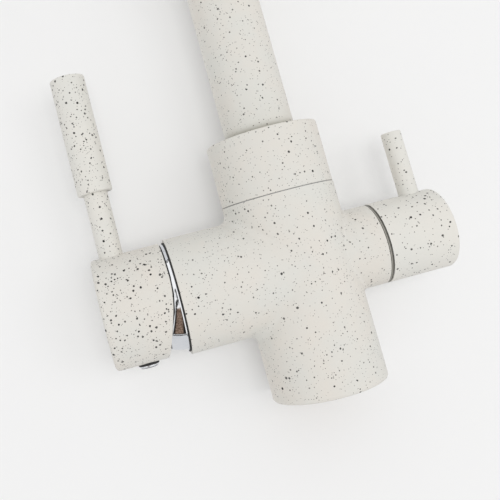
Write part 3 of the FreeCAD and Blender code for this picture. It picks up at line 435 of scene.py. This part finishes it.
def finish_relief(tree, shader, height, depth):
    """Join a height to the shader's normal."""
    bump = add(tree, "ShaderNodeBump", {"Height": height, "Distance": depth, "Strength": 1.0})
    tree.links.new(bump.outputs[0], shader.inputs["Normal"])


def grainy(tree, place, shader, grain, depth):
    """Give a shader a skin of one grain."""
    finish_relief(tree, shader, place_group(tree, RELIEF, {"Vector": place, "Grain": grain})[0], depth)


print("groups", CLOUDS.name, "and", RELIEF.name)

# %% [markdown]
# Body and handles were sprayed apart: black chips crowd on the handles, and on the body they lie
# further apart in a faint dust. So one function makes all coatings from a list of chip layers. Each
# layer has its cell size and chip radius in millimetres, its share of cells, its raggedness and its
# darkest level, and is moved and turned against the others, so that their cells don't line up. The
# lever and the filter handle also came out a touch paler.

# %% Speckled paint
BODY_TINTS = (linear(225, 220, 212), linear(221, 220, 214))
LEVER_TINTS = (linear(228, 225, 218), linear(224, 223, 217))
TINT_SIZE = 26 * MM
DUST = (1.1, 0.20, 0.85, 1.0, 50)
BODY_CHIPS = (DUST, (2.1, 0.28, 0.8, 1.0, 20), (2.7, 0.38, 0.8, 1.0, 0), (4.0, 0.52, 0.85, 0.8, 0),
              (5.5, 0.64, 0.85, 0.8, 0))
HANDLE_CHIPS = (DUST, (1.5, 0.27, 0.8, 1.0, 0), (2.0, 0.43, 0.75, 0.8, 0), (2.7, 0.64, 0.85, 0.8, 0))
FILTER_CHIPS = ((1.5, 0.26, 0.7, 1.0, 40), (2.5, 0.42, 0.7, 0.9, 5), (2.8, 0.60, 0.75, 0.8, 0))
CHIP_WARMTH = (1.0, 0.93, 0.86)
PALEST_CHIP = 0.85
LAYER_MOVE = (0.31, 0.17, 0.07)
LAYER_TURN = (0.9, 0.4, 1.3)


def object_place(tree):
    """The surface point in the tap's own frame."""
    return add(tree, "ShaderNodeTexCoord").outputs["Object"]


def speckled(tree, place, chips, tints):
    """Colour of the speckled coating."""
    colour = tinted(tree, place, TINT_SIZE, *tints)
    for number, (cell, radius, share, ragged, level) in enumerate(chips):
        moved = add(tree, "ShaderNodeMapping",
                    {"Vector": place, "Location": tuple(part * number for part in LAYER_MOVE),
                     "Rotation": tuple(part * number for part in LAYER_TURN)})
        layer = place_group(tree, CHIPS, {"Vector": moved.outputs[0], "Cell": cell * MM,
                                          "Radius": radius * MM, "Share": share, "Ragged": ragged})
        strength = scaled(tree, layer["Tone"], PALEST_CHIP - 1.0, 1.0)
        mask = calc(tree, "MULTIPLY", layer["Mask"], strength)
        colour = blend_colour(tree, mask, colour, linear(*(level * part for part in CHIP_WARMTH)))
    return colour


print("chip layers: body", len(BODY_CHIPS), "lever", len(HANDLE_CHIPS), "filter handle", len(FILTER_CHIPS))

# %% [markdown]
# The casting, the mixer's arm and its cap are painted outside only. Where a shader has to know which
# side is which, it measures how far a point lies from the axis that the piece was bored round. The
# same measure keeps the thread turns inside the inlets. The fine lines that a lathe leaves come from
# another one: a noise that changes along the axis and not round it. Each is a small group of its own.

# %% Measures, as node groups
def bore_group():
    """Distance from a bore's axis and depth along it; Centre is a point on the axis, in metres."""
    group, start, end = new_group(
        "bore_distance", (("Vector", "Vector"), ("Centre", "Vector"), ("Along", "Vector")),
        (("Distance", "Float"), ("Depth", "Float")))
    given = start.outputs
    away = add(group, "ShaderNodeVectorMath", {0: given["Vector"], 1: given["Centre"]},
               operation="SUBTRACT")
    depth = add(group, "ShaderNodeVectorMath", {0: away.outputs[0], 1: given["Along"]},
                operation="DOT_PRODUCT").outputs["Value"]
    on_axis = add(group, "ShaderNodeVectorMath", {0: given["Along"], "Scale": depth}, operation="SCALE")
    off_axis = add(group, "ShaderNodeVectorMath", {0: away.outputs[0], 1: on_axis.outputs[0]},
                   operation="SUBTRACT")
    length = add(group, "ShaderNodeVectorMath", {0: off_axis.outputs[0]}, operation="LENGTH")
    group.links.new(length.outputs["Value"], end.inputs["Distance"])
    group.links.new(depth, end.inputs["Depth"])
    return group


def lathe_group():
    """Fine uneven lines round an axis."""
    group, start, end = new_group(
        "lathe_lines", (("Vector", "Vector"), ("Along", "Vector"), ("Pitch", "Float")),
        (("Height", "Float"),))
    given = start.outputs
    rate = calc(group, "DIVIDE", 1.0, given["Pitch"])
    depth = add(group, "ShaderNodeVectorMath", {0: given["Vector"], 1: given["Along"]},
                operation="DOT_PRODUCT").outputs["Value"]
    line = add(group, "ShaderNodeTexNoise", {"W": calc(group, "MULTIPLY", depth, rate), "Detail": 2.0},
               noise_dimensions="1D")
    group.links.new(line.outputs[0], end.inputs["Height"])
    return group


BORE = bore_group()
LATHE = lathe_group()


def inside_bore(tree, place, centre, along, radius, first, last):
    """1 within a radius of an axis and between two depths along it."""
    bore = place_group(tree, BORE, {"Vector": place, "Centre": centre, "Along": along})
    inside = calc(tree, "LESS_THAN", bore["Distance"], radius)
    inside = calc(tree, "MULTIPLY", inside, calc(tree, "GREATER_THAN", bore["Depth"], first))
    return calc(tree, "MULTIPLY", inside, calc(tree, "LESS_THAN", bore["Depth"], last))


print("groups", BORE.name, "and", LATHE.name)

# %% [markdown]
# The painted pieces get their paint outside and, where a bore is measured, bare metal inside, or in
# the mixer cap a dark skin, dark enough that it also paints the shade inside the cap. A mask mixes the
# colour, the metallic value and the roughness together, because paint hides the metal. Each bore is
# given by a point on its axis, the way it runs, its radius and the two depths that it lies between.
# The spout tube looks a little darker just over its collar, where less light reaches, so its paint
# has a short soft band of painted shade there, counted up from the collar's measured top.

# %% Paint over bare metal
BARE_BRASS = (linear(205, 168, 102), True)
# The near-black skin inside the mixer cap is partly painted shade: the chrome shows it as the dark line of
# shade along the cap's edge.
DARK_SKIN_AND_SHADE = (grey(38), False)
PAINT_SHINE, SHINE_SIZE = (0.46, 0.58), 9 * MM
BARE_ROUGHNESS = 0.3
PAINT_SPECULAR = 0.35
PAINT_GRAIN, PAINT_RELIEF = 0.9 * MM, 0.012 * MM
COLLAR_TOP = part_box("spout_collar")[1].z
FOOT_START, FOOT_REACH = 1.4 * MM, 4.4 * MM
FOOT_DEPTH, FOOT_FALL = 0.72, 2.5
# The colour of the painted shade at the foot of the spout tube.
FOOT_SHADE = linear(144, 141, 128)


def shaded_foot(tree, place, colour, foot):
    """The coating with painted shade just over one height."""
    up = add(tree, "ShaderNodeSeparateXYZ", {0: place}).outputs[2]
    start = foot + FOOT_START
    # Painted shade: the band darkens the paint towards the collar's top.
    foot_shade = calc(tree, "POWER", between(tree, up, start + FOOT_REACH, start), FOOT_FALL)
    foot_shaded = blend_colour(tree, calc(tree, "MULTIPLY", foot_shade, FOOT_DEPTH), colour, FOOT_SHADE)
    return blend_colour(tree, calc(tree, "GREATER_THAN", up, foot), colour, foot_shaded)


def paint_material(name, chips, tints=BODY_TINTS, bare=BARE_BRASS, bores=(), foot=None):
    """Speckled coating, painted shade at a foot; bare has the colour in the bores, and whether it is
    metal.
    """
    material, tree, shader = new_material(name)
    place = object_place(tree)
    colour = speckled(tree, place, chips, tints)
    if foot is not None:
        colour = shaded_foot(tree, place, colour, foot)
    shader.inputs["Specular IOR Level"].default_value = PAINT_SPECULAR
    grainy(tree, place, shader, PAINT_GRAIN, PAINT_RELIEF)
    shine = drifting(tree, place, SHINE_SIZE, *PAINT_SHINE)
    if bores:
        inside = inside_bore(tree, place, *bores[0])
        for bore in bores[1:]:
            inside = calc(tree, "MAXIMUM", inside, inside_bore(tree, place, *bore))
        colour = blend_colour(tree, inside, colour, bare[0])
        shine = blend_colour(tree, inside, shine, (BARE_ROUGHNESS, BARE_ROUGHNESS, BARE_ROUGHNESS, 1.0))
        if bare[1]:
            tree.links.new(inside, shader.inputs["Metallic"])
    tree.links.new(colour, shader.inputs["Base Color"])
    tree.links.new(shine, shader.inputs["Roughness"])
    return material


ARM_CENTRE = (0, 0, 56.4 * MM)
ALONG_X, ALONG_Z = (1.0, 0.0, 0.0), (0.0, 0.0, 1.0)
COLUMN_BORES = (((0, 0, 0), ALONG_Z, 24.0 * MM, -1 * MM, 24 * MM),
                ((0, 0, 0), ALONG_Z, 15.3 * MM, 69 * MM, 90 * MM))
SLEEVE_BORES = ((ARM_CENTRE, ALONG_X, 24.3 * MM, -60 * MM, -20 * MM),)
CAP_BORES = ((ARM_CENTRE, ALONG_X, 24.2 * MM, -87 * MM, -50 * MM),)
BODY_PAINT = paint_material("speckled_paint_body", BODY_CHIPS, bores=COLUMN_BORES)
SLEEVE_PAINT = paint_material("speckled_paint_sleeve", BODY_CHIPS, bores=SLEEVE_BORES)
COLLAR_PAINT = paint_material("speckled_paint_collar", BODY_CHIPS)
SPOUT_PAINT = paint_material("speckled_paint_spout", BODY_CHIPS, foot=COLLAR_TOP)
HANDLE_PAINT = paint_material("speckled_paint_lever", HANDLE_CHIPS, LEVER_TINTS)
FILTER_PAINT = paint_material("speckled_paint_filter_handle", FILTER_CHIPS, LEVER_TINTS)
# Its dark inside is partly painted shade for the inside of the cap.
MIXER_CAP_PAINT = paint_material("speckled_paint_mixer_cap", HANDLE_CHIPS, bare=DARK_SKIN_AND_SHADE, bores=CAP_BORES)
print("paints", [m.name for m in bpy.data.materials if m.name.startswith("speckled")])

# %% [markdown]
# The chrome is a mirror with a very light haze: polishing leaves it a little uneven, so its roughness
# drifts, and a faint slow wave bends what it shows. The plug under the mixer cap has a satin chrome,
# which shows no clear picture of the room. The bare metals are turned on a lathe, and the lines that
# it leaves are drawn by the lathe group as relief and as a change of shine.

# %% Metals
CHROME_TINTS = (linear(247, 248, 250), linear(240, 242, 245))
CHROME_TINT_SIZE, CHROME_HAZE_SIZE = 6 * MM, 3 * MM
WAVE_SIZE, WAVE_DEPTH = 4 * MM, 0.004 * MM
BRASS_TINTS, BRASS_ROUGHNESS = (linear(216, 182, 116), linear(198, 160, 96)), (0.22, 0.34)
STEEL_TINTS, STEEL_ROUGHNESS = (grey(196), grey(176)), (0.26, 0.38)
METAL_TINT_SIZE = 5 * MM
BRASS_PITCH, STEEL_PITCH = 0.16 * MM, 0.12 * MM
LATHE_NOISE, LATHE_DEPTH = (0.3, 0.7), 0.01 * MM


def chrome_material(name, haze):
    """Chrome; haze is the range that its roughness drifts in."""
    material, tree, shader = new_material(name)
    place = object_place(tree)
    shader.inputs["Metallic"].default_value = 1.0
    tree.links.new(tinted(tree, place, CHROME_TINT_SIZE, *CHROME_TINTS), shader.inputs["Base Color"])
    tree.links.new(drifting(tree, place, CHROME_HAZE_SIZE, *haze), shader.inputs["Roughness"])
    grainy(tree, place, shader, WAVE_SIZE, WAVE_DEPTH)
    return material


def turned_material(name, tints, roughness, along, pitch):
    """Bare metal with lathe lines round one axis."""
    material, tree, shader = new_material(name)
    place = object_place(tree)
    lines = place_group(tree, LATHE, {"Vector": place, "Along": along, "Pitch": pitch})[0]
    shader.inputs["Metallic"].default_value = 1.0
    tree.links.new(tinted(tree, place, METAL_TINT_SIZE, *tints), shader.inputs["Base Color"])
    tree.links.new(between(tree, lines, *LATHE_NOISE, *roughness), shader.inputs["Roughness"])
    finish_relief(tree, shader, lines, LATHE_DEPTH)
    return material


CHROME = chrome_material("polished_chrome", (0.035, 0.075))
SATIN_CHROME = chrome_material("satin_chrome", (0.26, 0.32))
BRASS_X = turned_material("turned_brass_arms", BRASS_TINTS, BRASS_ROUGHNESS, ALONG_X, BRASS_PITCH)
BRASS_Z = turned_material("turned_brass_column", BRASS_TINTS, BRASS_ROUGHNESS, ALONG_Z, BRASS_PITCH)
STEEL = turned_material("turned_steel", STEEL_TINTS, STEEL_ROUGHNESS, ALONG_Z, STEEL_PITCH)
print("metals", [m.name for m in (CHROME, SATIN_CHROME, BRASS_X, BRASS_Z, STEEL)])

# %% [markdown]
# The inlets in the base are threaded. Their holes are plain in the model, so the thread is relief in
# the material: the height rises and falls once each pitch along the hole, and its start turns with
# the angle round the hole, which makes a helix. Only the walls of the five holes have it. Each hole is
# given by its place, x and y, a radius just over its own, and its pitch, all in millimetres.

# %% Threaded brass block
INLETS = ((-9.0, -7.5, 4.7, 1.0), (-9.0, 7.5, 4.7, 1.0), (9.0, 0.0, 4.7, 1.0))
STUD_HOLES = ((2.0, -14.5, 3.55, 1.25), (2.0, 14.5, 3.55, 1.25))
THREAD_START, THREAD_END = 0.2 * MM, 14 * MM
THREAD_RELIEF = 0.9 * MM
LATHE_SHARE = 0.02
THREADED_ROUGHNESS, THREADED_HAZE_SIZE = (0.24, 0.36), 3 * MM


def thread_height(tree, place, x, y, radius, pitch):
    """Height of one hole's thread, 0 outside the hole."""
    centre = (x * MM, y * MM, 0.0)
    moved = add(tree, "ShaderNodeVectorMath", {0: place, 1: centre}, operation="SUBTRACT")
    parts = add(tree, "ShaderNodeSeparateXYZ", {0: moved.outputs[0]}).outputs
    turn = calc(tree, "DIVIDE", calc(tree, "ARCTAN2", parts[1], parts[0]), 2 * math.pi)
    rise = calc(tree, "SUBTRACT", calc(tree, "DIVIDE", parts[2], pitch * MM), turn)
    saw = calc(tree, "PINGPONG", rise, 0.5)
    inside = inside_bore(tree, place, centre, ALONG_Z, radius * MM, THREAD_START, THREAD_END)
    return calc(tree, "MULTIPLY", saw, inside)


def threaded_brass():
    """Turned brass with threads in its inlets and stud holes."""
    material, tree, shader = new_material("threaded_brass")
    place = object_place(tree)
    lines = place_group(tree, LATHE, {"Vector": place, "Along": ALONG_Z, "Pitch": BRASS_PITCH})[0]
    height = calc(tree, "MULTIPLY", lines, LATHE_SHARE)
    for hole in INLETS + STUD_HOLES:
        height = calc(tree, "ADD", height, thread_height(tree, place, *hole))
    shine = drifting(tree, place, THREADED_HAZE_SIZE, *THREADED_ROUGHNESS)
    shader.inputs["Metallic"].default_value = 1.0
    tree.links.new(tinted(tree, place, METAL_TINT_SIZE, *BRASS_TINTS), shader.inputs["Base Color"])
    tree.links.new(shine, shader.inputs["Roughness"])
    finish_relief(tree, shader, height, THREAD_RELIEF)
    return material


THREADED = threaded_brass()
print("threads", len(INLETS), "inlets and", len(STUD_HOLES), "stud holes")

# %% [markdown]
# Rubber, plastic and ceramic don't shine like metal, and differ in how fine their surface is: rubber
# has a grainy, dusty skin, moulded plastic a soft leathery one, and lapped ceramic almost none. One
# function makes them all from two tints, a roughness and the size and depth of their grain.

# %% Rubber, plastic and ceramic
MOULDED_TINT_SIZE, MOULDED_SHINE_SIZE = 4 * MM, 2 * MM
SHINE_DRIFT = 0.06


def moulded_material(name, tints, rough, grain, depth):
    """A non-metal with drifting tint and shine, and a grain whose size and depth are in mm."""
    material, tree, shader = new_material(name)
    place = object_place(tree)
    shine = drifting(tree, place, MOULDED_SHINE_SIZE, rough - SHINE_DRIFT, rough + SHINE_DRIFT)
    tree.links.new(tinted(tree, place, MOULDED_TINT_SIZE, *tints), shader.inputs["Base Color"])
    tree.links.new(shine, shader.inputs["Roughness"])
    grainy(tree, place, shader, grain * MM, depth * MM)
    return material


WHITES = (linear(233, 232, 228), linear(226, 225, 221))
CERAMIC_WHITES = (linear(240, 238, 232), linear(233, 231, 226))
RUBBER = moulded_material("black_rubber", (grey(34), grey(48)), 0.62, 0.25, 0.03)
GREY_PLASTIC = moulded_material("grey_plastic", (grey(152), grey(142)), 0.45, 0.35, 0.015)
WHITE_PLASTIC = moulded_material("white_plastic", WHITES, 0.4, 0.35, 0.015)
# The swivel washer is greyer than white plastic: the grey paints part of the shade in the seam between
# collar and column.
SEAM_SHADE_PLASTIC = moulded_material("washer_plastic_seam_shade", (grey(184), grey(160)), 0.4, 0.3, 0.01)
CERAMIC = moulded_material("lapped_ceramic", CERAMIC_WHITES, 0.16, 0.2, 0.002)
print("others", [m.name for m in (RUBBER, GREY_PLASTIC, WHITE_PLASTIC, SEAM_SHADE_PLASTIC, CERAMIC)])

# %% [markdown]
# The ring between the right arm and its cap looks dark grey, with a slightly paler line in its middle.
# It is a satin ring set a little below the paint, so the paint's edges keep the light off its sides;
# its dark grey is painted shade for that gap, and a soft line on the ring's own place along the arm
# is a painted highlight that gives the paler middle.

# %% Dark ring of painted shade
# A paler line of painted highlight runs round the ring's middle.
RING_MIDDLE, RING_HIGHLIGHT_HALF = 37.75 * MM, 0.16 * MM
# The dark grey tints are painted shade for the gap that the ring sits in.
RING_SHADE_TINTS, RING_TINT_SIZE = (linear(104, 102, 94), linear(92, 90, 83)), 3 * MM
RING_HIGHLIGHT = linear(164, 161, 153)
RING_ROUGHNESS, RING_SHINE_SIZE = (0.42, 0.52), 2 * MM
RING_GRAIN, RING_RELIEF = 0.3 * MM, 0.01 * MM


def ring_material():
    """Dark satin ring of painted shade, with a painted highlight round its middle."""
    material, tree, shader = new_material("dark_ring_painted_shade")
    place = object_place(tree)
    across = add(tree, "ShaderNodeSeparateXYZ", {0: place}).outputs[0]
    line = near(tree, across, RING_MIDDLE, RING_HIGHLIGHT_HALF)
    shaded_sides = tinted(tree, place, RING_TINT_SIZE, *RING_SHADE_TINTS)
    tree.links.new(blend_colour(tree, line, shaded_sides, RING_HIGHLIGHT), shader.inputs["Base Color"])
    tree.links.new(drifting(tree, place, RING_SHINE_SIZE, *RING_ROUGHNESS), shader.inputs["Roughness"])
    grainy(tree, place, shader, RING_GRAIN, RING_RELIEF)
    return material


RING = ring_material()
print("ring line at", round(RING_MIDDLE / MM, 2), "mm along the arm")

# %% [markdown]
# Every node of the CAD model now gets its finish: most by the slot that the record gives them, and
# the pieces that differ from their slot by name.

# %% Dress the CAD nodes
BY_SLOT = {"speckled_paint": COLLAR_PAINT, "chrome": CHROME, "brass": BRASS_Z, "steel": STEEL,
           "ceramic": CERAMIC, "rubber": RUBBER, "grey_plastic": GREY_PLASTIC,
           "white_plastic": WHITE_PLASTIC, "dark_plastic": RING}
BY_NAME = {"body_casting": BODY_PAINT, "mixer_arm_sleeve": SLEEVE_PAINT, "mixer_cap": MIXER_CAP_PAINT,
           "mixer_lever_rod": HANDLE_PAINT, "mixer_lever_grip": HANDLE_PAINT, "filter_cap": FILTER_PAINT,
           "filter_lever_pin": FILTER_PAINT, "spout_tube": SPOUT_PAINT, "inlet_block": THREADED,
           "swivel_washer": SEAM_SHADE_PLASTIC, "mixer_plug": SATIN_CHROME,
           "cartridge_nut": BRASS_X, "filter_valve_body": BRASS_X, "filter_spindle": BRASS_X,
           "mixer_spindle": BRASS_X}

for part in frame["record"]["subparts"]:
    node = frame["nodes"][part["node"]]
    node.data.materials.clear()
    node.data.materials.append(BY_NAME.get(part["node"], BY_SLOT[part["material_slot"]]))

# %% [markdown]
# A black ring lies between the chrome bonnet's flange and the arm's end: it paints the thick dark line
# of shade there. A ring like this is turned: a small plate of its section is rounded at the corners, its
# face is dropped so that only its outline is left, and that is spun round the arm's axis. The plug
# under the mixer cap sits in such a black ring too, which paints the shade at its upper edge, and has a
# thin black line of painted shade round its domed head. Each ring is given by where the middle of its
# section lies, how wide and high the section is, and how much its corners are rounded.

# %% Turned rings of painted shade
SPIN_STEPS = 160
SMOOTH_ANGLE = math.radians(35)
ARM_END = -56.4 * MM
# The black rings below are painted shade: one in the gap at the bonnet's flange, and two at the plug.
BONNET_SHADE_R, BONNET_SHADE_BACK = 24.5 * MM, 0.38 * MM
PLUG_SHADE_R, PLUG_SHADE_Z = 4.42 * MM, 31.3 * MM
HEAD_SHADE_R, HEAD_SHADE_Z = 3.6 * MM, 29.82 * MM


def turned_ring(name, middle, size, bevel, centre, along):
    """A ring: a plate of its section, size and bevel in mm, rounded and spun round an axis."""
    bpy.ops.object.select_all(action="DESELECT")
    bpy.ops.mesh.primitive_plane_add(size=1.0, location=middle, rotation=(math.pi / 2, 0, 0))
    ring = bpy.context.object
    ring.name = name
    ring.scale = (size[0] * MM, size[1] * MM, 1.0)
    bpy.ops.object.transform_apply(location=True, rotation=True, scale=True)
    bpy.ops.object.mode_set(mode="EDIT")
    bpy.ops.mesh.select_all(action="SELECT")
    bpy.ops.mesh.bevel(offset=bevel * MM, segments=3, affect="VERTICES")
    bpy.ops.mesh.select_all(action="SELECT")
    bpy.ops.mesh.delete(type="ONLY_FACE")
    bpy.ops.mesh.select_all(action="SELECT")
    bpy.ops.mesh.spin(steps=SPIN_STEPS, angle=2 * math.pi, center=centre, axis=along)
    bpy.ops.mesh.select_all(action="SELECT")
    bpy.ops.mesh.remove_doubles(threshold=0.002 * MM)
    bpy.ops.mesh.normals_make_consistent(inside=False)
    bpy.ops.object.mode_set(mode="OBJECT")
    bpy.ops.object.shade_smooth_by_angle(angle=SMOOTH_ANGLE)
    ring.data.materials.append(RUBBER)
    print(name, "faces", len(ring.data.polygons), "size", [round(d / MM, 2) for d in ring.dimensions])
    return ring


arm_z = ARM_CENTRE[2]
# Painted shade: a black ring in the gap between the bonnet's flange and the arm's end.
bonnet_shade_ring = turned_ring("bonnet_shade_ring", (ARM_END - BONNET_SHADE_BACK, 0, arm_z + BONNET_SHADE_R),
                         (0.72, 0.56), 0.08, ARM_CENTRE, ALONG_X)
plug_low, plug_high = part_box("mixer_plug")
plug_x = (plug_low.x + plug_high.x) / 2
print("plug", [round(c / MM, 2) for c in (*plug_low, *plug_high)])
# Painted shade: a black ring at the plug's upper edge, and a thin black line round its head.
plug_shade_ring = turned_ring("plug_shade_ring", (plug_x + PLUG_SHADE_R, 0, PLUG_SHADE_Z),
                        (0.5, 1.1), 0.1, (plug_x, 0, 0), ALONG_Z)
plug_shade_line = turned_ring("plug_head_shade_line", (plug_x + HEAD_SHADE_R, 0, HEAD_SHADE_Z),
                        (0.26, 0.22), 0.06, (plug_x, 0, 0), ALONG_Z)
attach(bonnet_shade_ring, "tap_body")
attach(plug_shade_ring, "mixer_lever")
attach(plug_shade_line, "mixer_lever")

# %% [markdown]
# A dark line of shade follows the mixer cap's edge over the chrome, down to where the gap widens. It is
# painted by the lip of a thin black liner inside the cap, which stands a little proud of the edge.
# It is rolled from sheet: an open tube, cut along four planes that follow the bent edge, each leaning
# more than the last, and then given its thickness inwards. The edge's places are given in millimetres,
# along the arm and up from its axis.

# %% Liner that paints the shade along the mixer cap's edge
LINER_R = 23.88 * MM
LINER_WALL = 0.24 * MM
LINER_START = -66.8 * MM
LINER_SPARE = 1.0 * MM
LINER_CORNERS = 192
LIP_PLACES = ((-58.28, 11.0), (-58.83, 2.8), (-60.43, -5.1), (-63.33, -13.0))


def lip_cuts():
    """Planes along the cap's edge: the first upright, the others through two places each."""
    corners = [Vector((x * MM, 0, arm_z + up * MM)) for x, up in LIP_PLACES]
    cuts = [(corners[0], Vector((1, 0, 0)))]
    for upper, lower in zip(corners, corners[1:]):
        along = lower - upper
        cuts.append((upper, Vector((-along.z, 0, along.x)).normalized()))
    return cuts


bpy.ops.object.select_all(action="DESELECT")
length = LIP_PLACES[0][0] * MM - LINER_START + LINER_SPARE
bpy.ops.mesh.primitive_cylinder_add(
    vertices=LINER_CORNERS, radius=LINER_R, depth=length, end_fill_type="NOTHING",
    location=(LINER_START + length / 2, 0, arm_z), rotation=(0, math.pi / 2, 0))
shade_liner = bpy.context.object
shade_liner.name = "mixer_cap_shade_liner"
bpy.ops.object.transform_apply(location=True, rotation=True, scale=True)
bpy.ops.object.mode_set(mode="EDIT")
for place, normal in lip_cuts():
    bpy.ops.mesh.select_all(action="SELECT")
    bpy.ops.mesh.bisect(plane_co=place, plane_no=normal, clear_outer=True)
bpy.ops.mesh.select_all(action="SELECT")
bpy.ops.mesh.normals_make_consistent(inside=False)
bpy.ops.object.mode_set(mode="OBJECT")
bpy.ops.object.modifier_add(type="SOLIDIFY")
shade_liner.modifiers["Solidify"].thickness = LINER_WALL
shade_liner.modifiers["Solidify"].offset = -1
bpy.ops.object.modifier_apply(modifier="Solidify")
bpy.ops.object.shade_smooth_by_angle(angle=SMOOTH_ANGLE)
# Black, so that the lip paints the line of shade along the cap's edge.
shade_liner.data.materials.append(RUBBER)
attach(shade_liner, "mixer_lever")
print("shade_liner", [round(d / MM, 2) for d in shade_liner.dimensions], "faces", len(shade_liner.data.polygons))
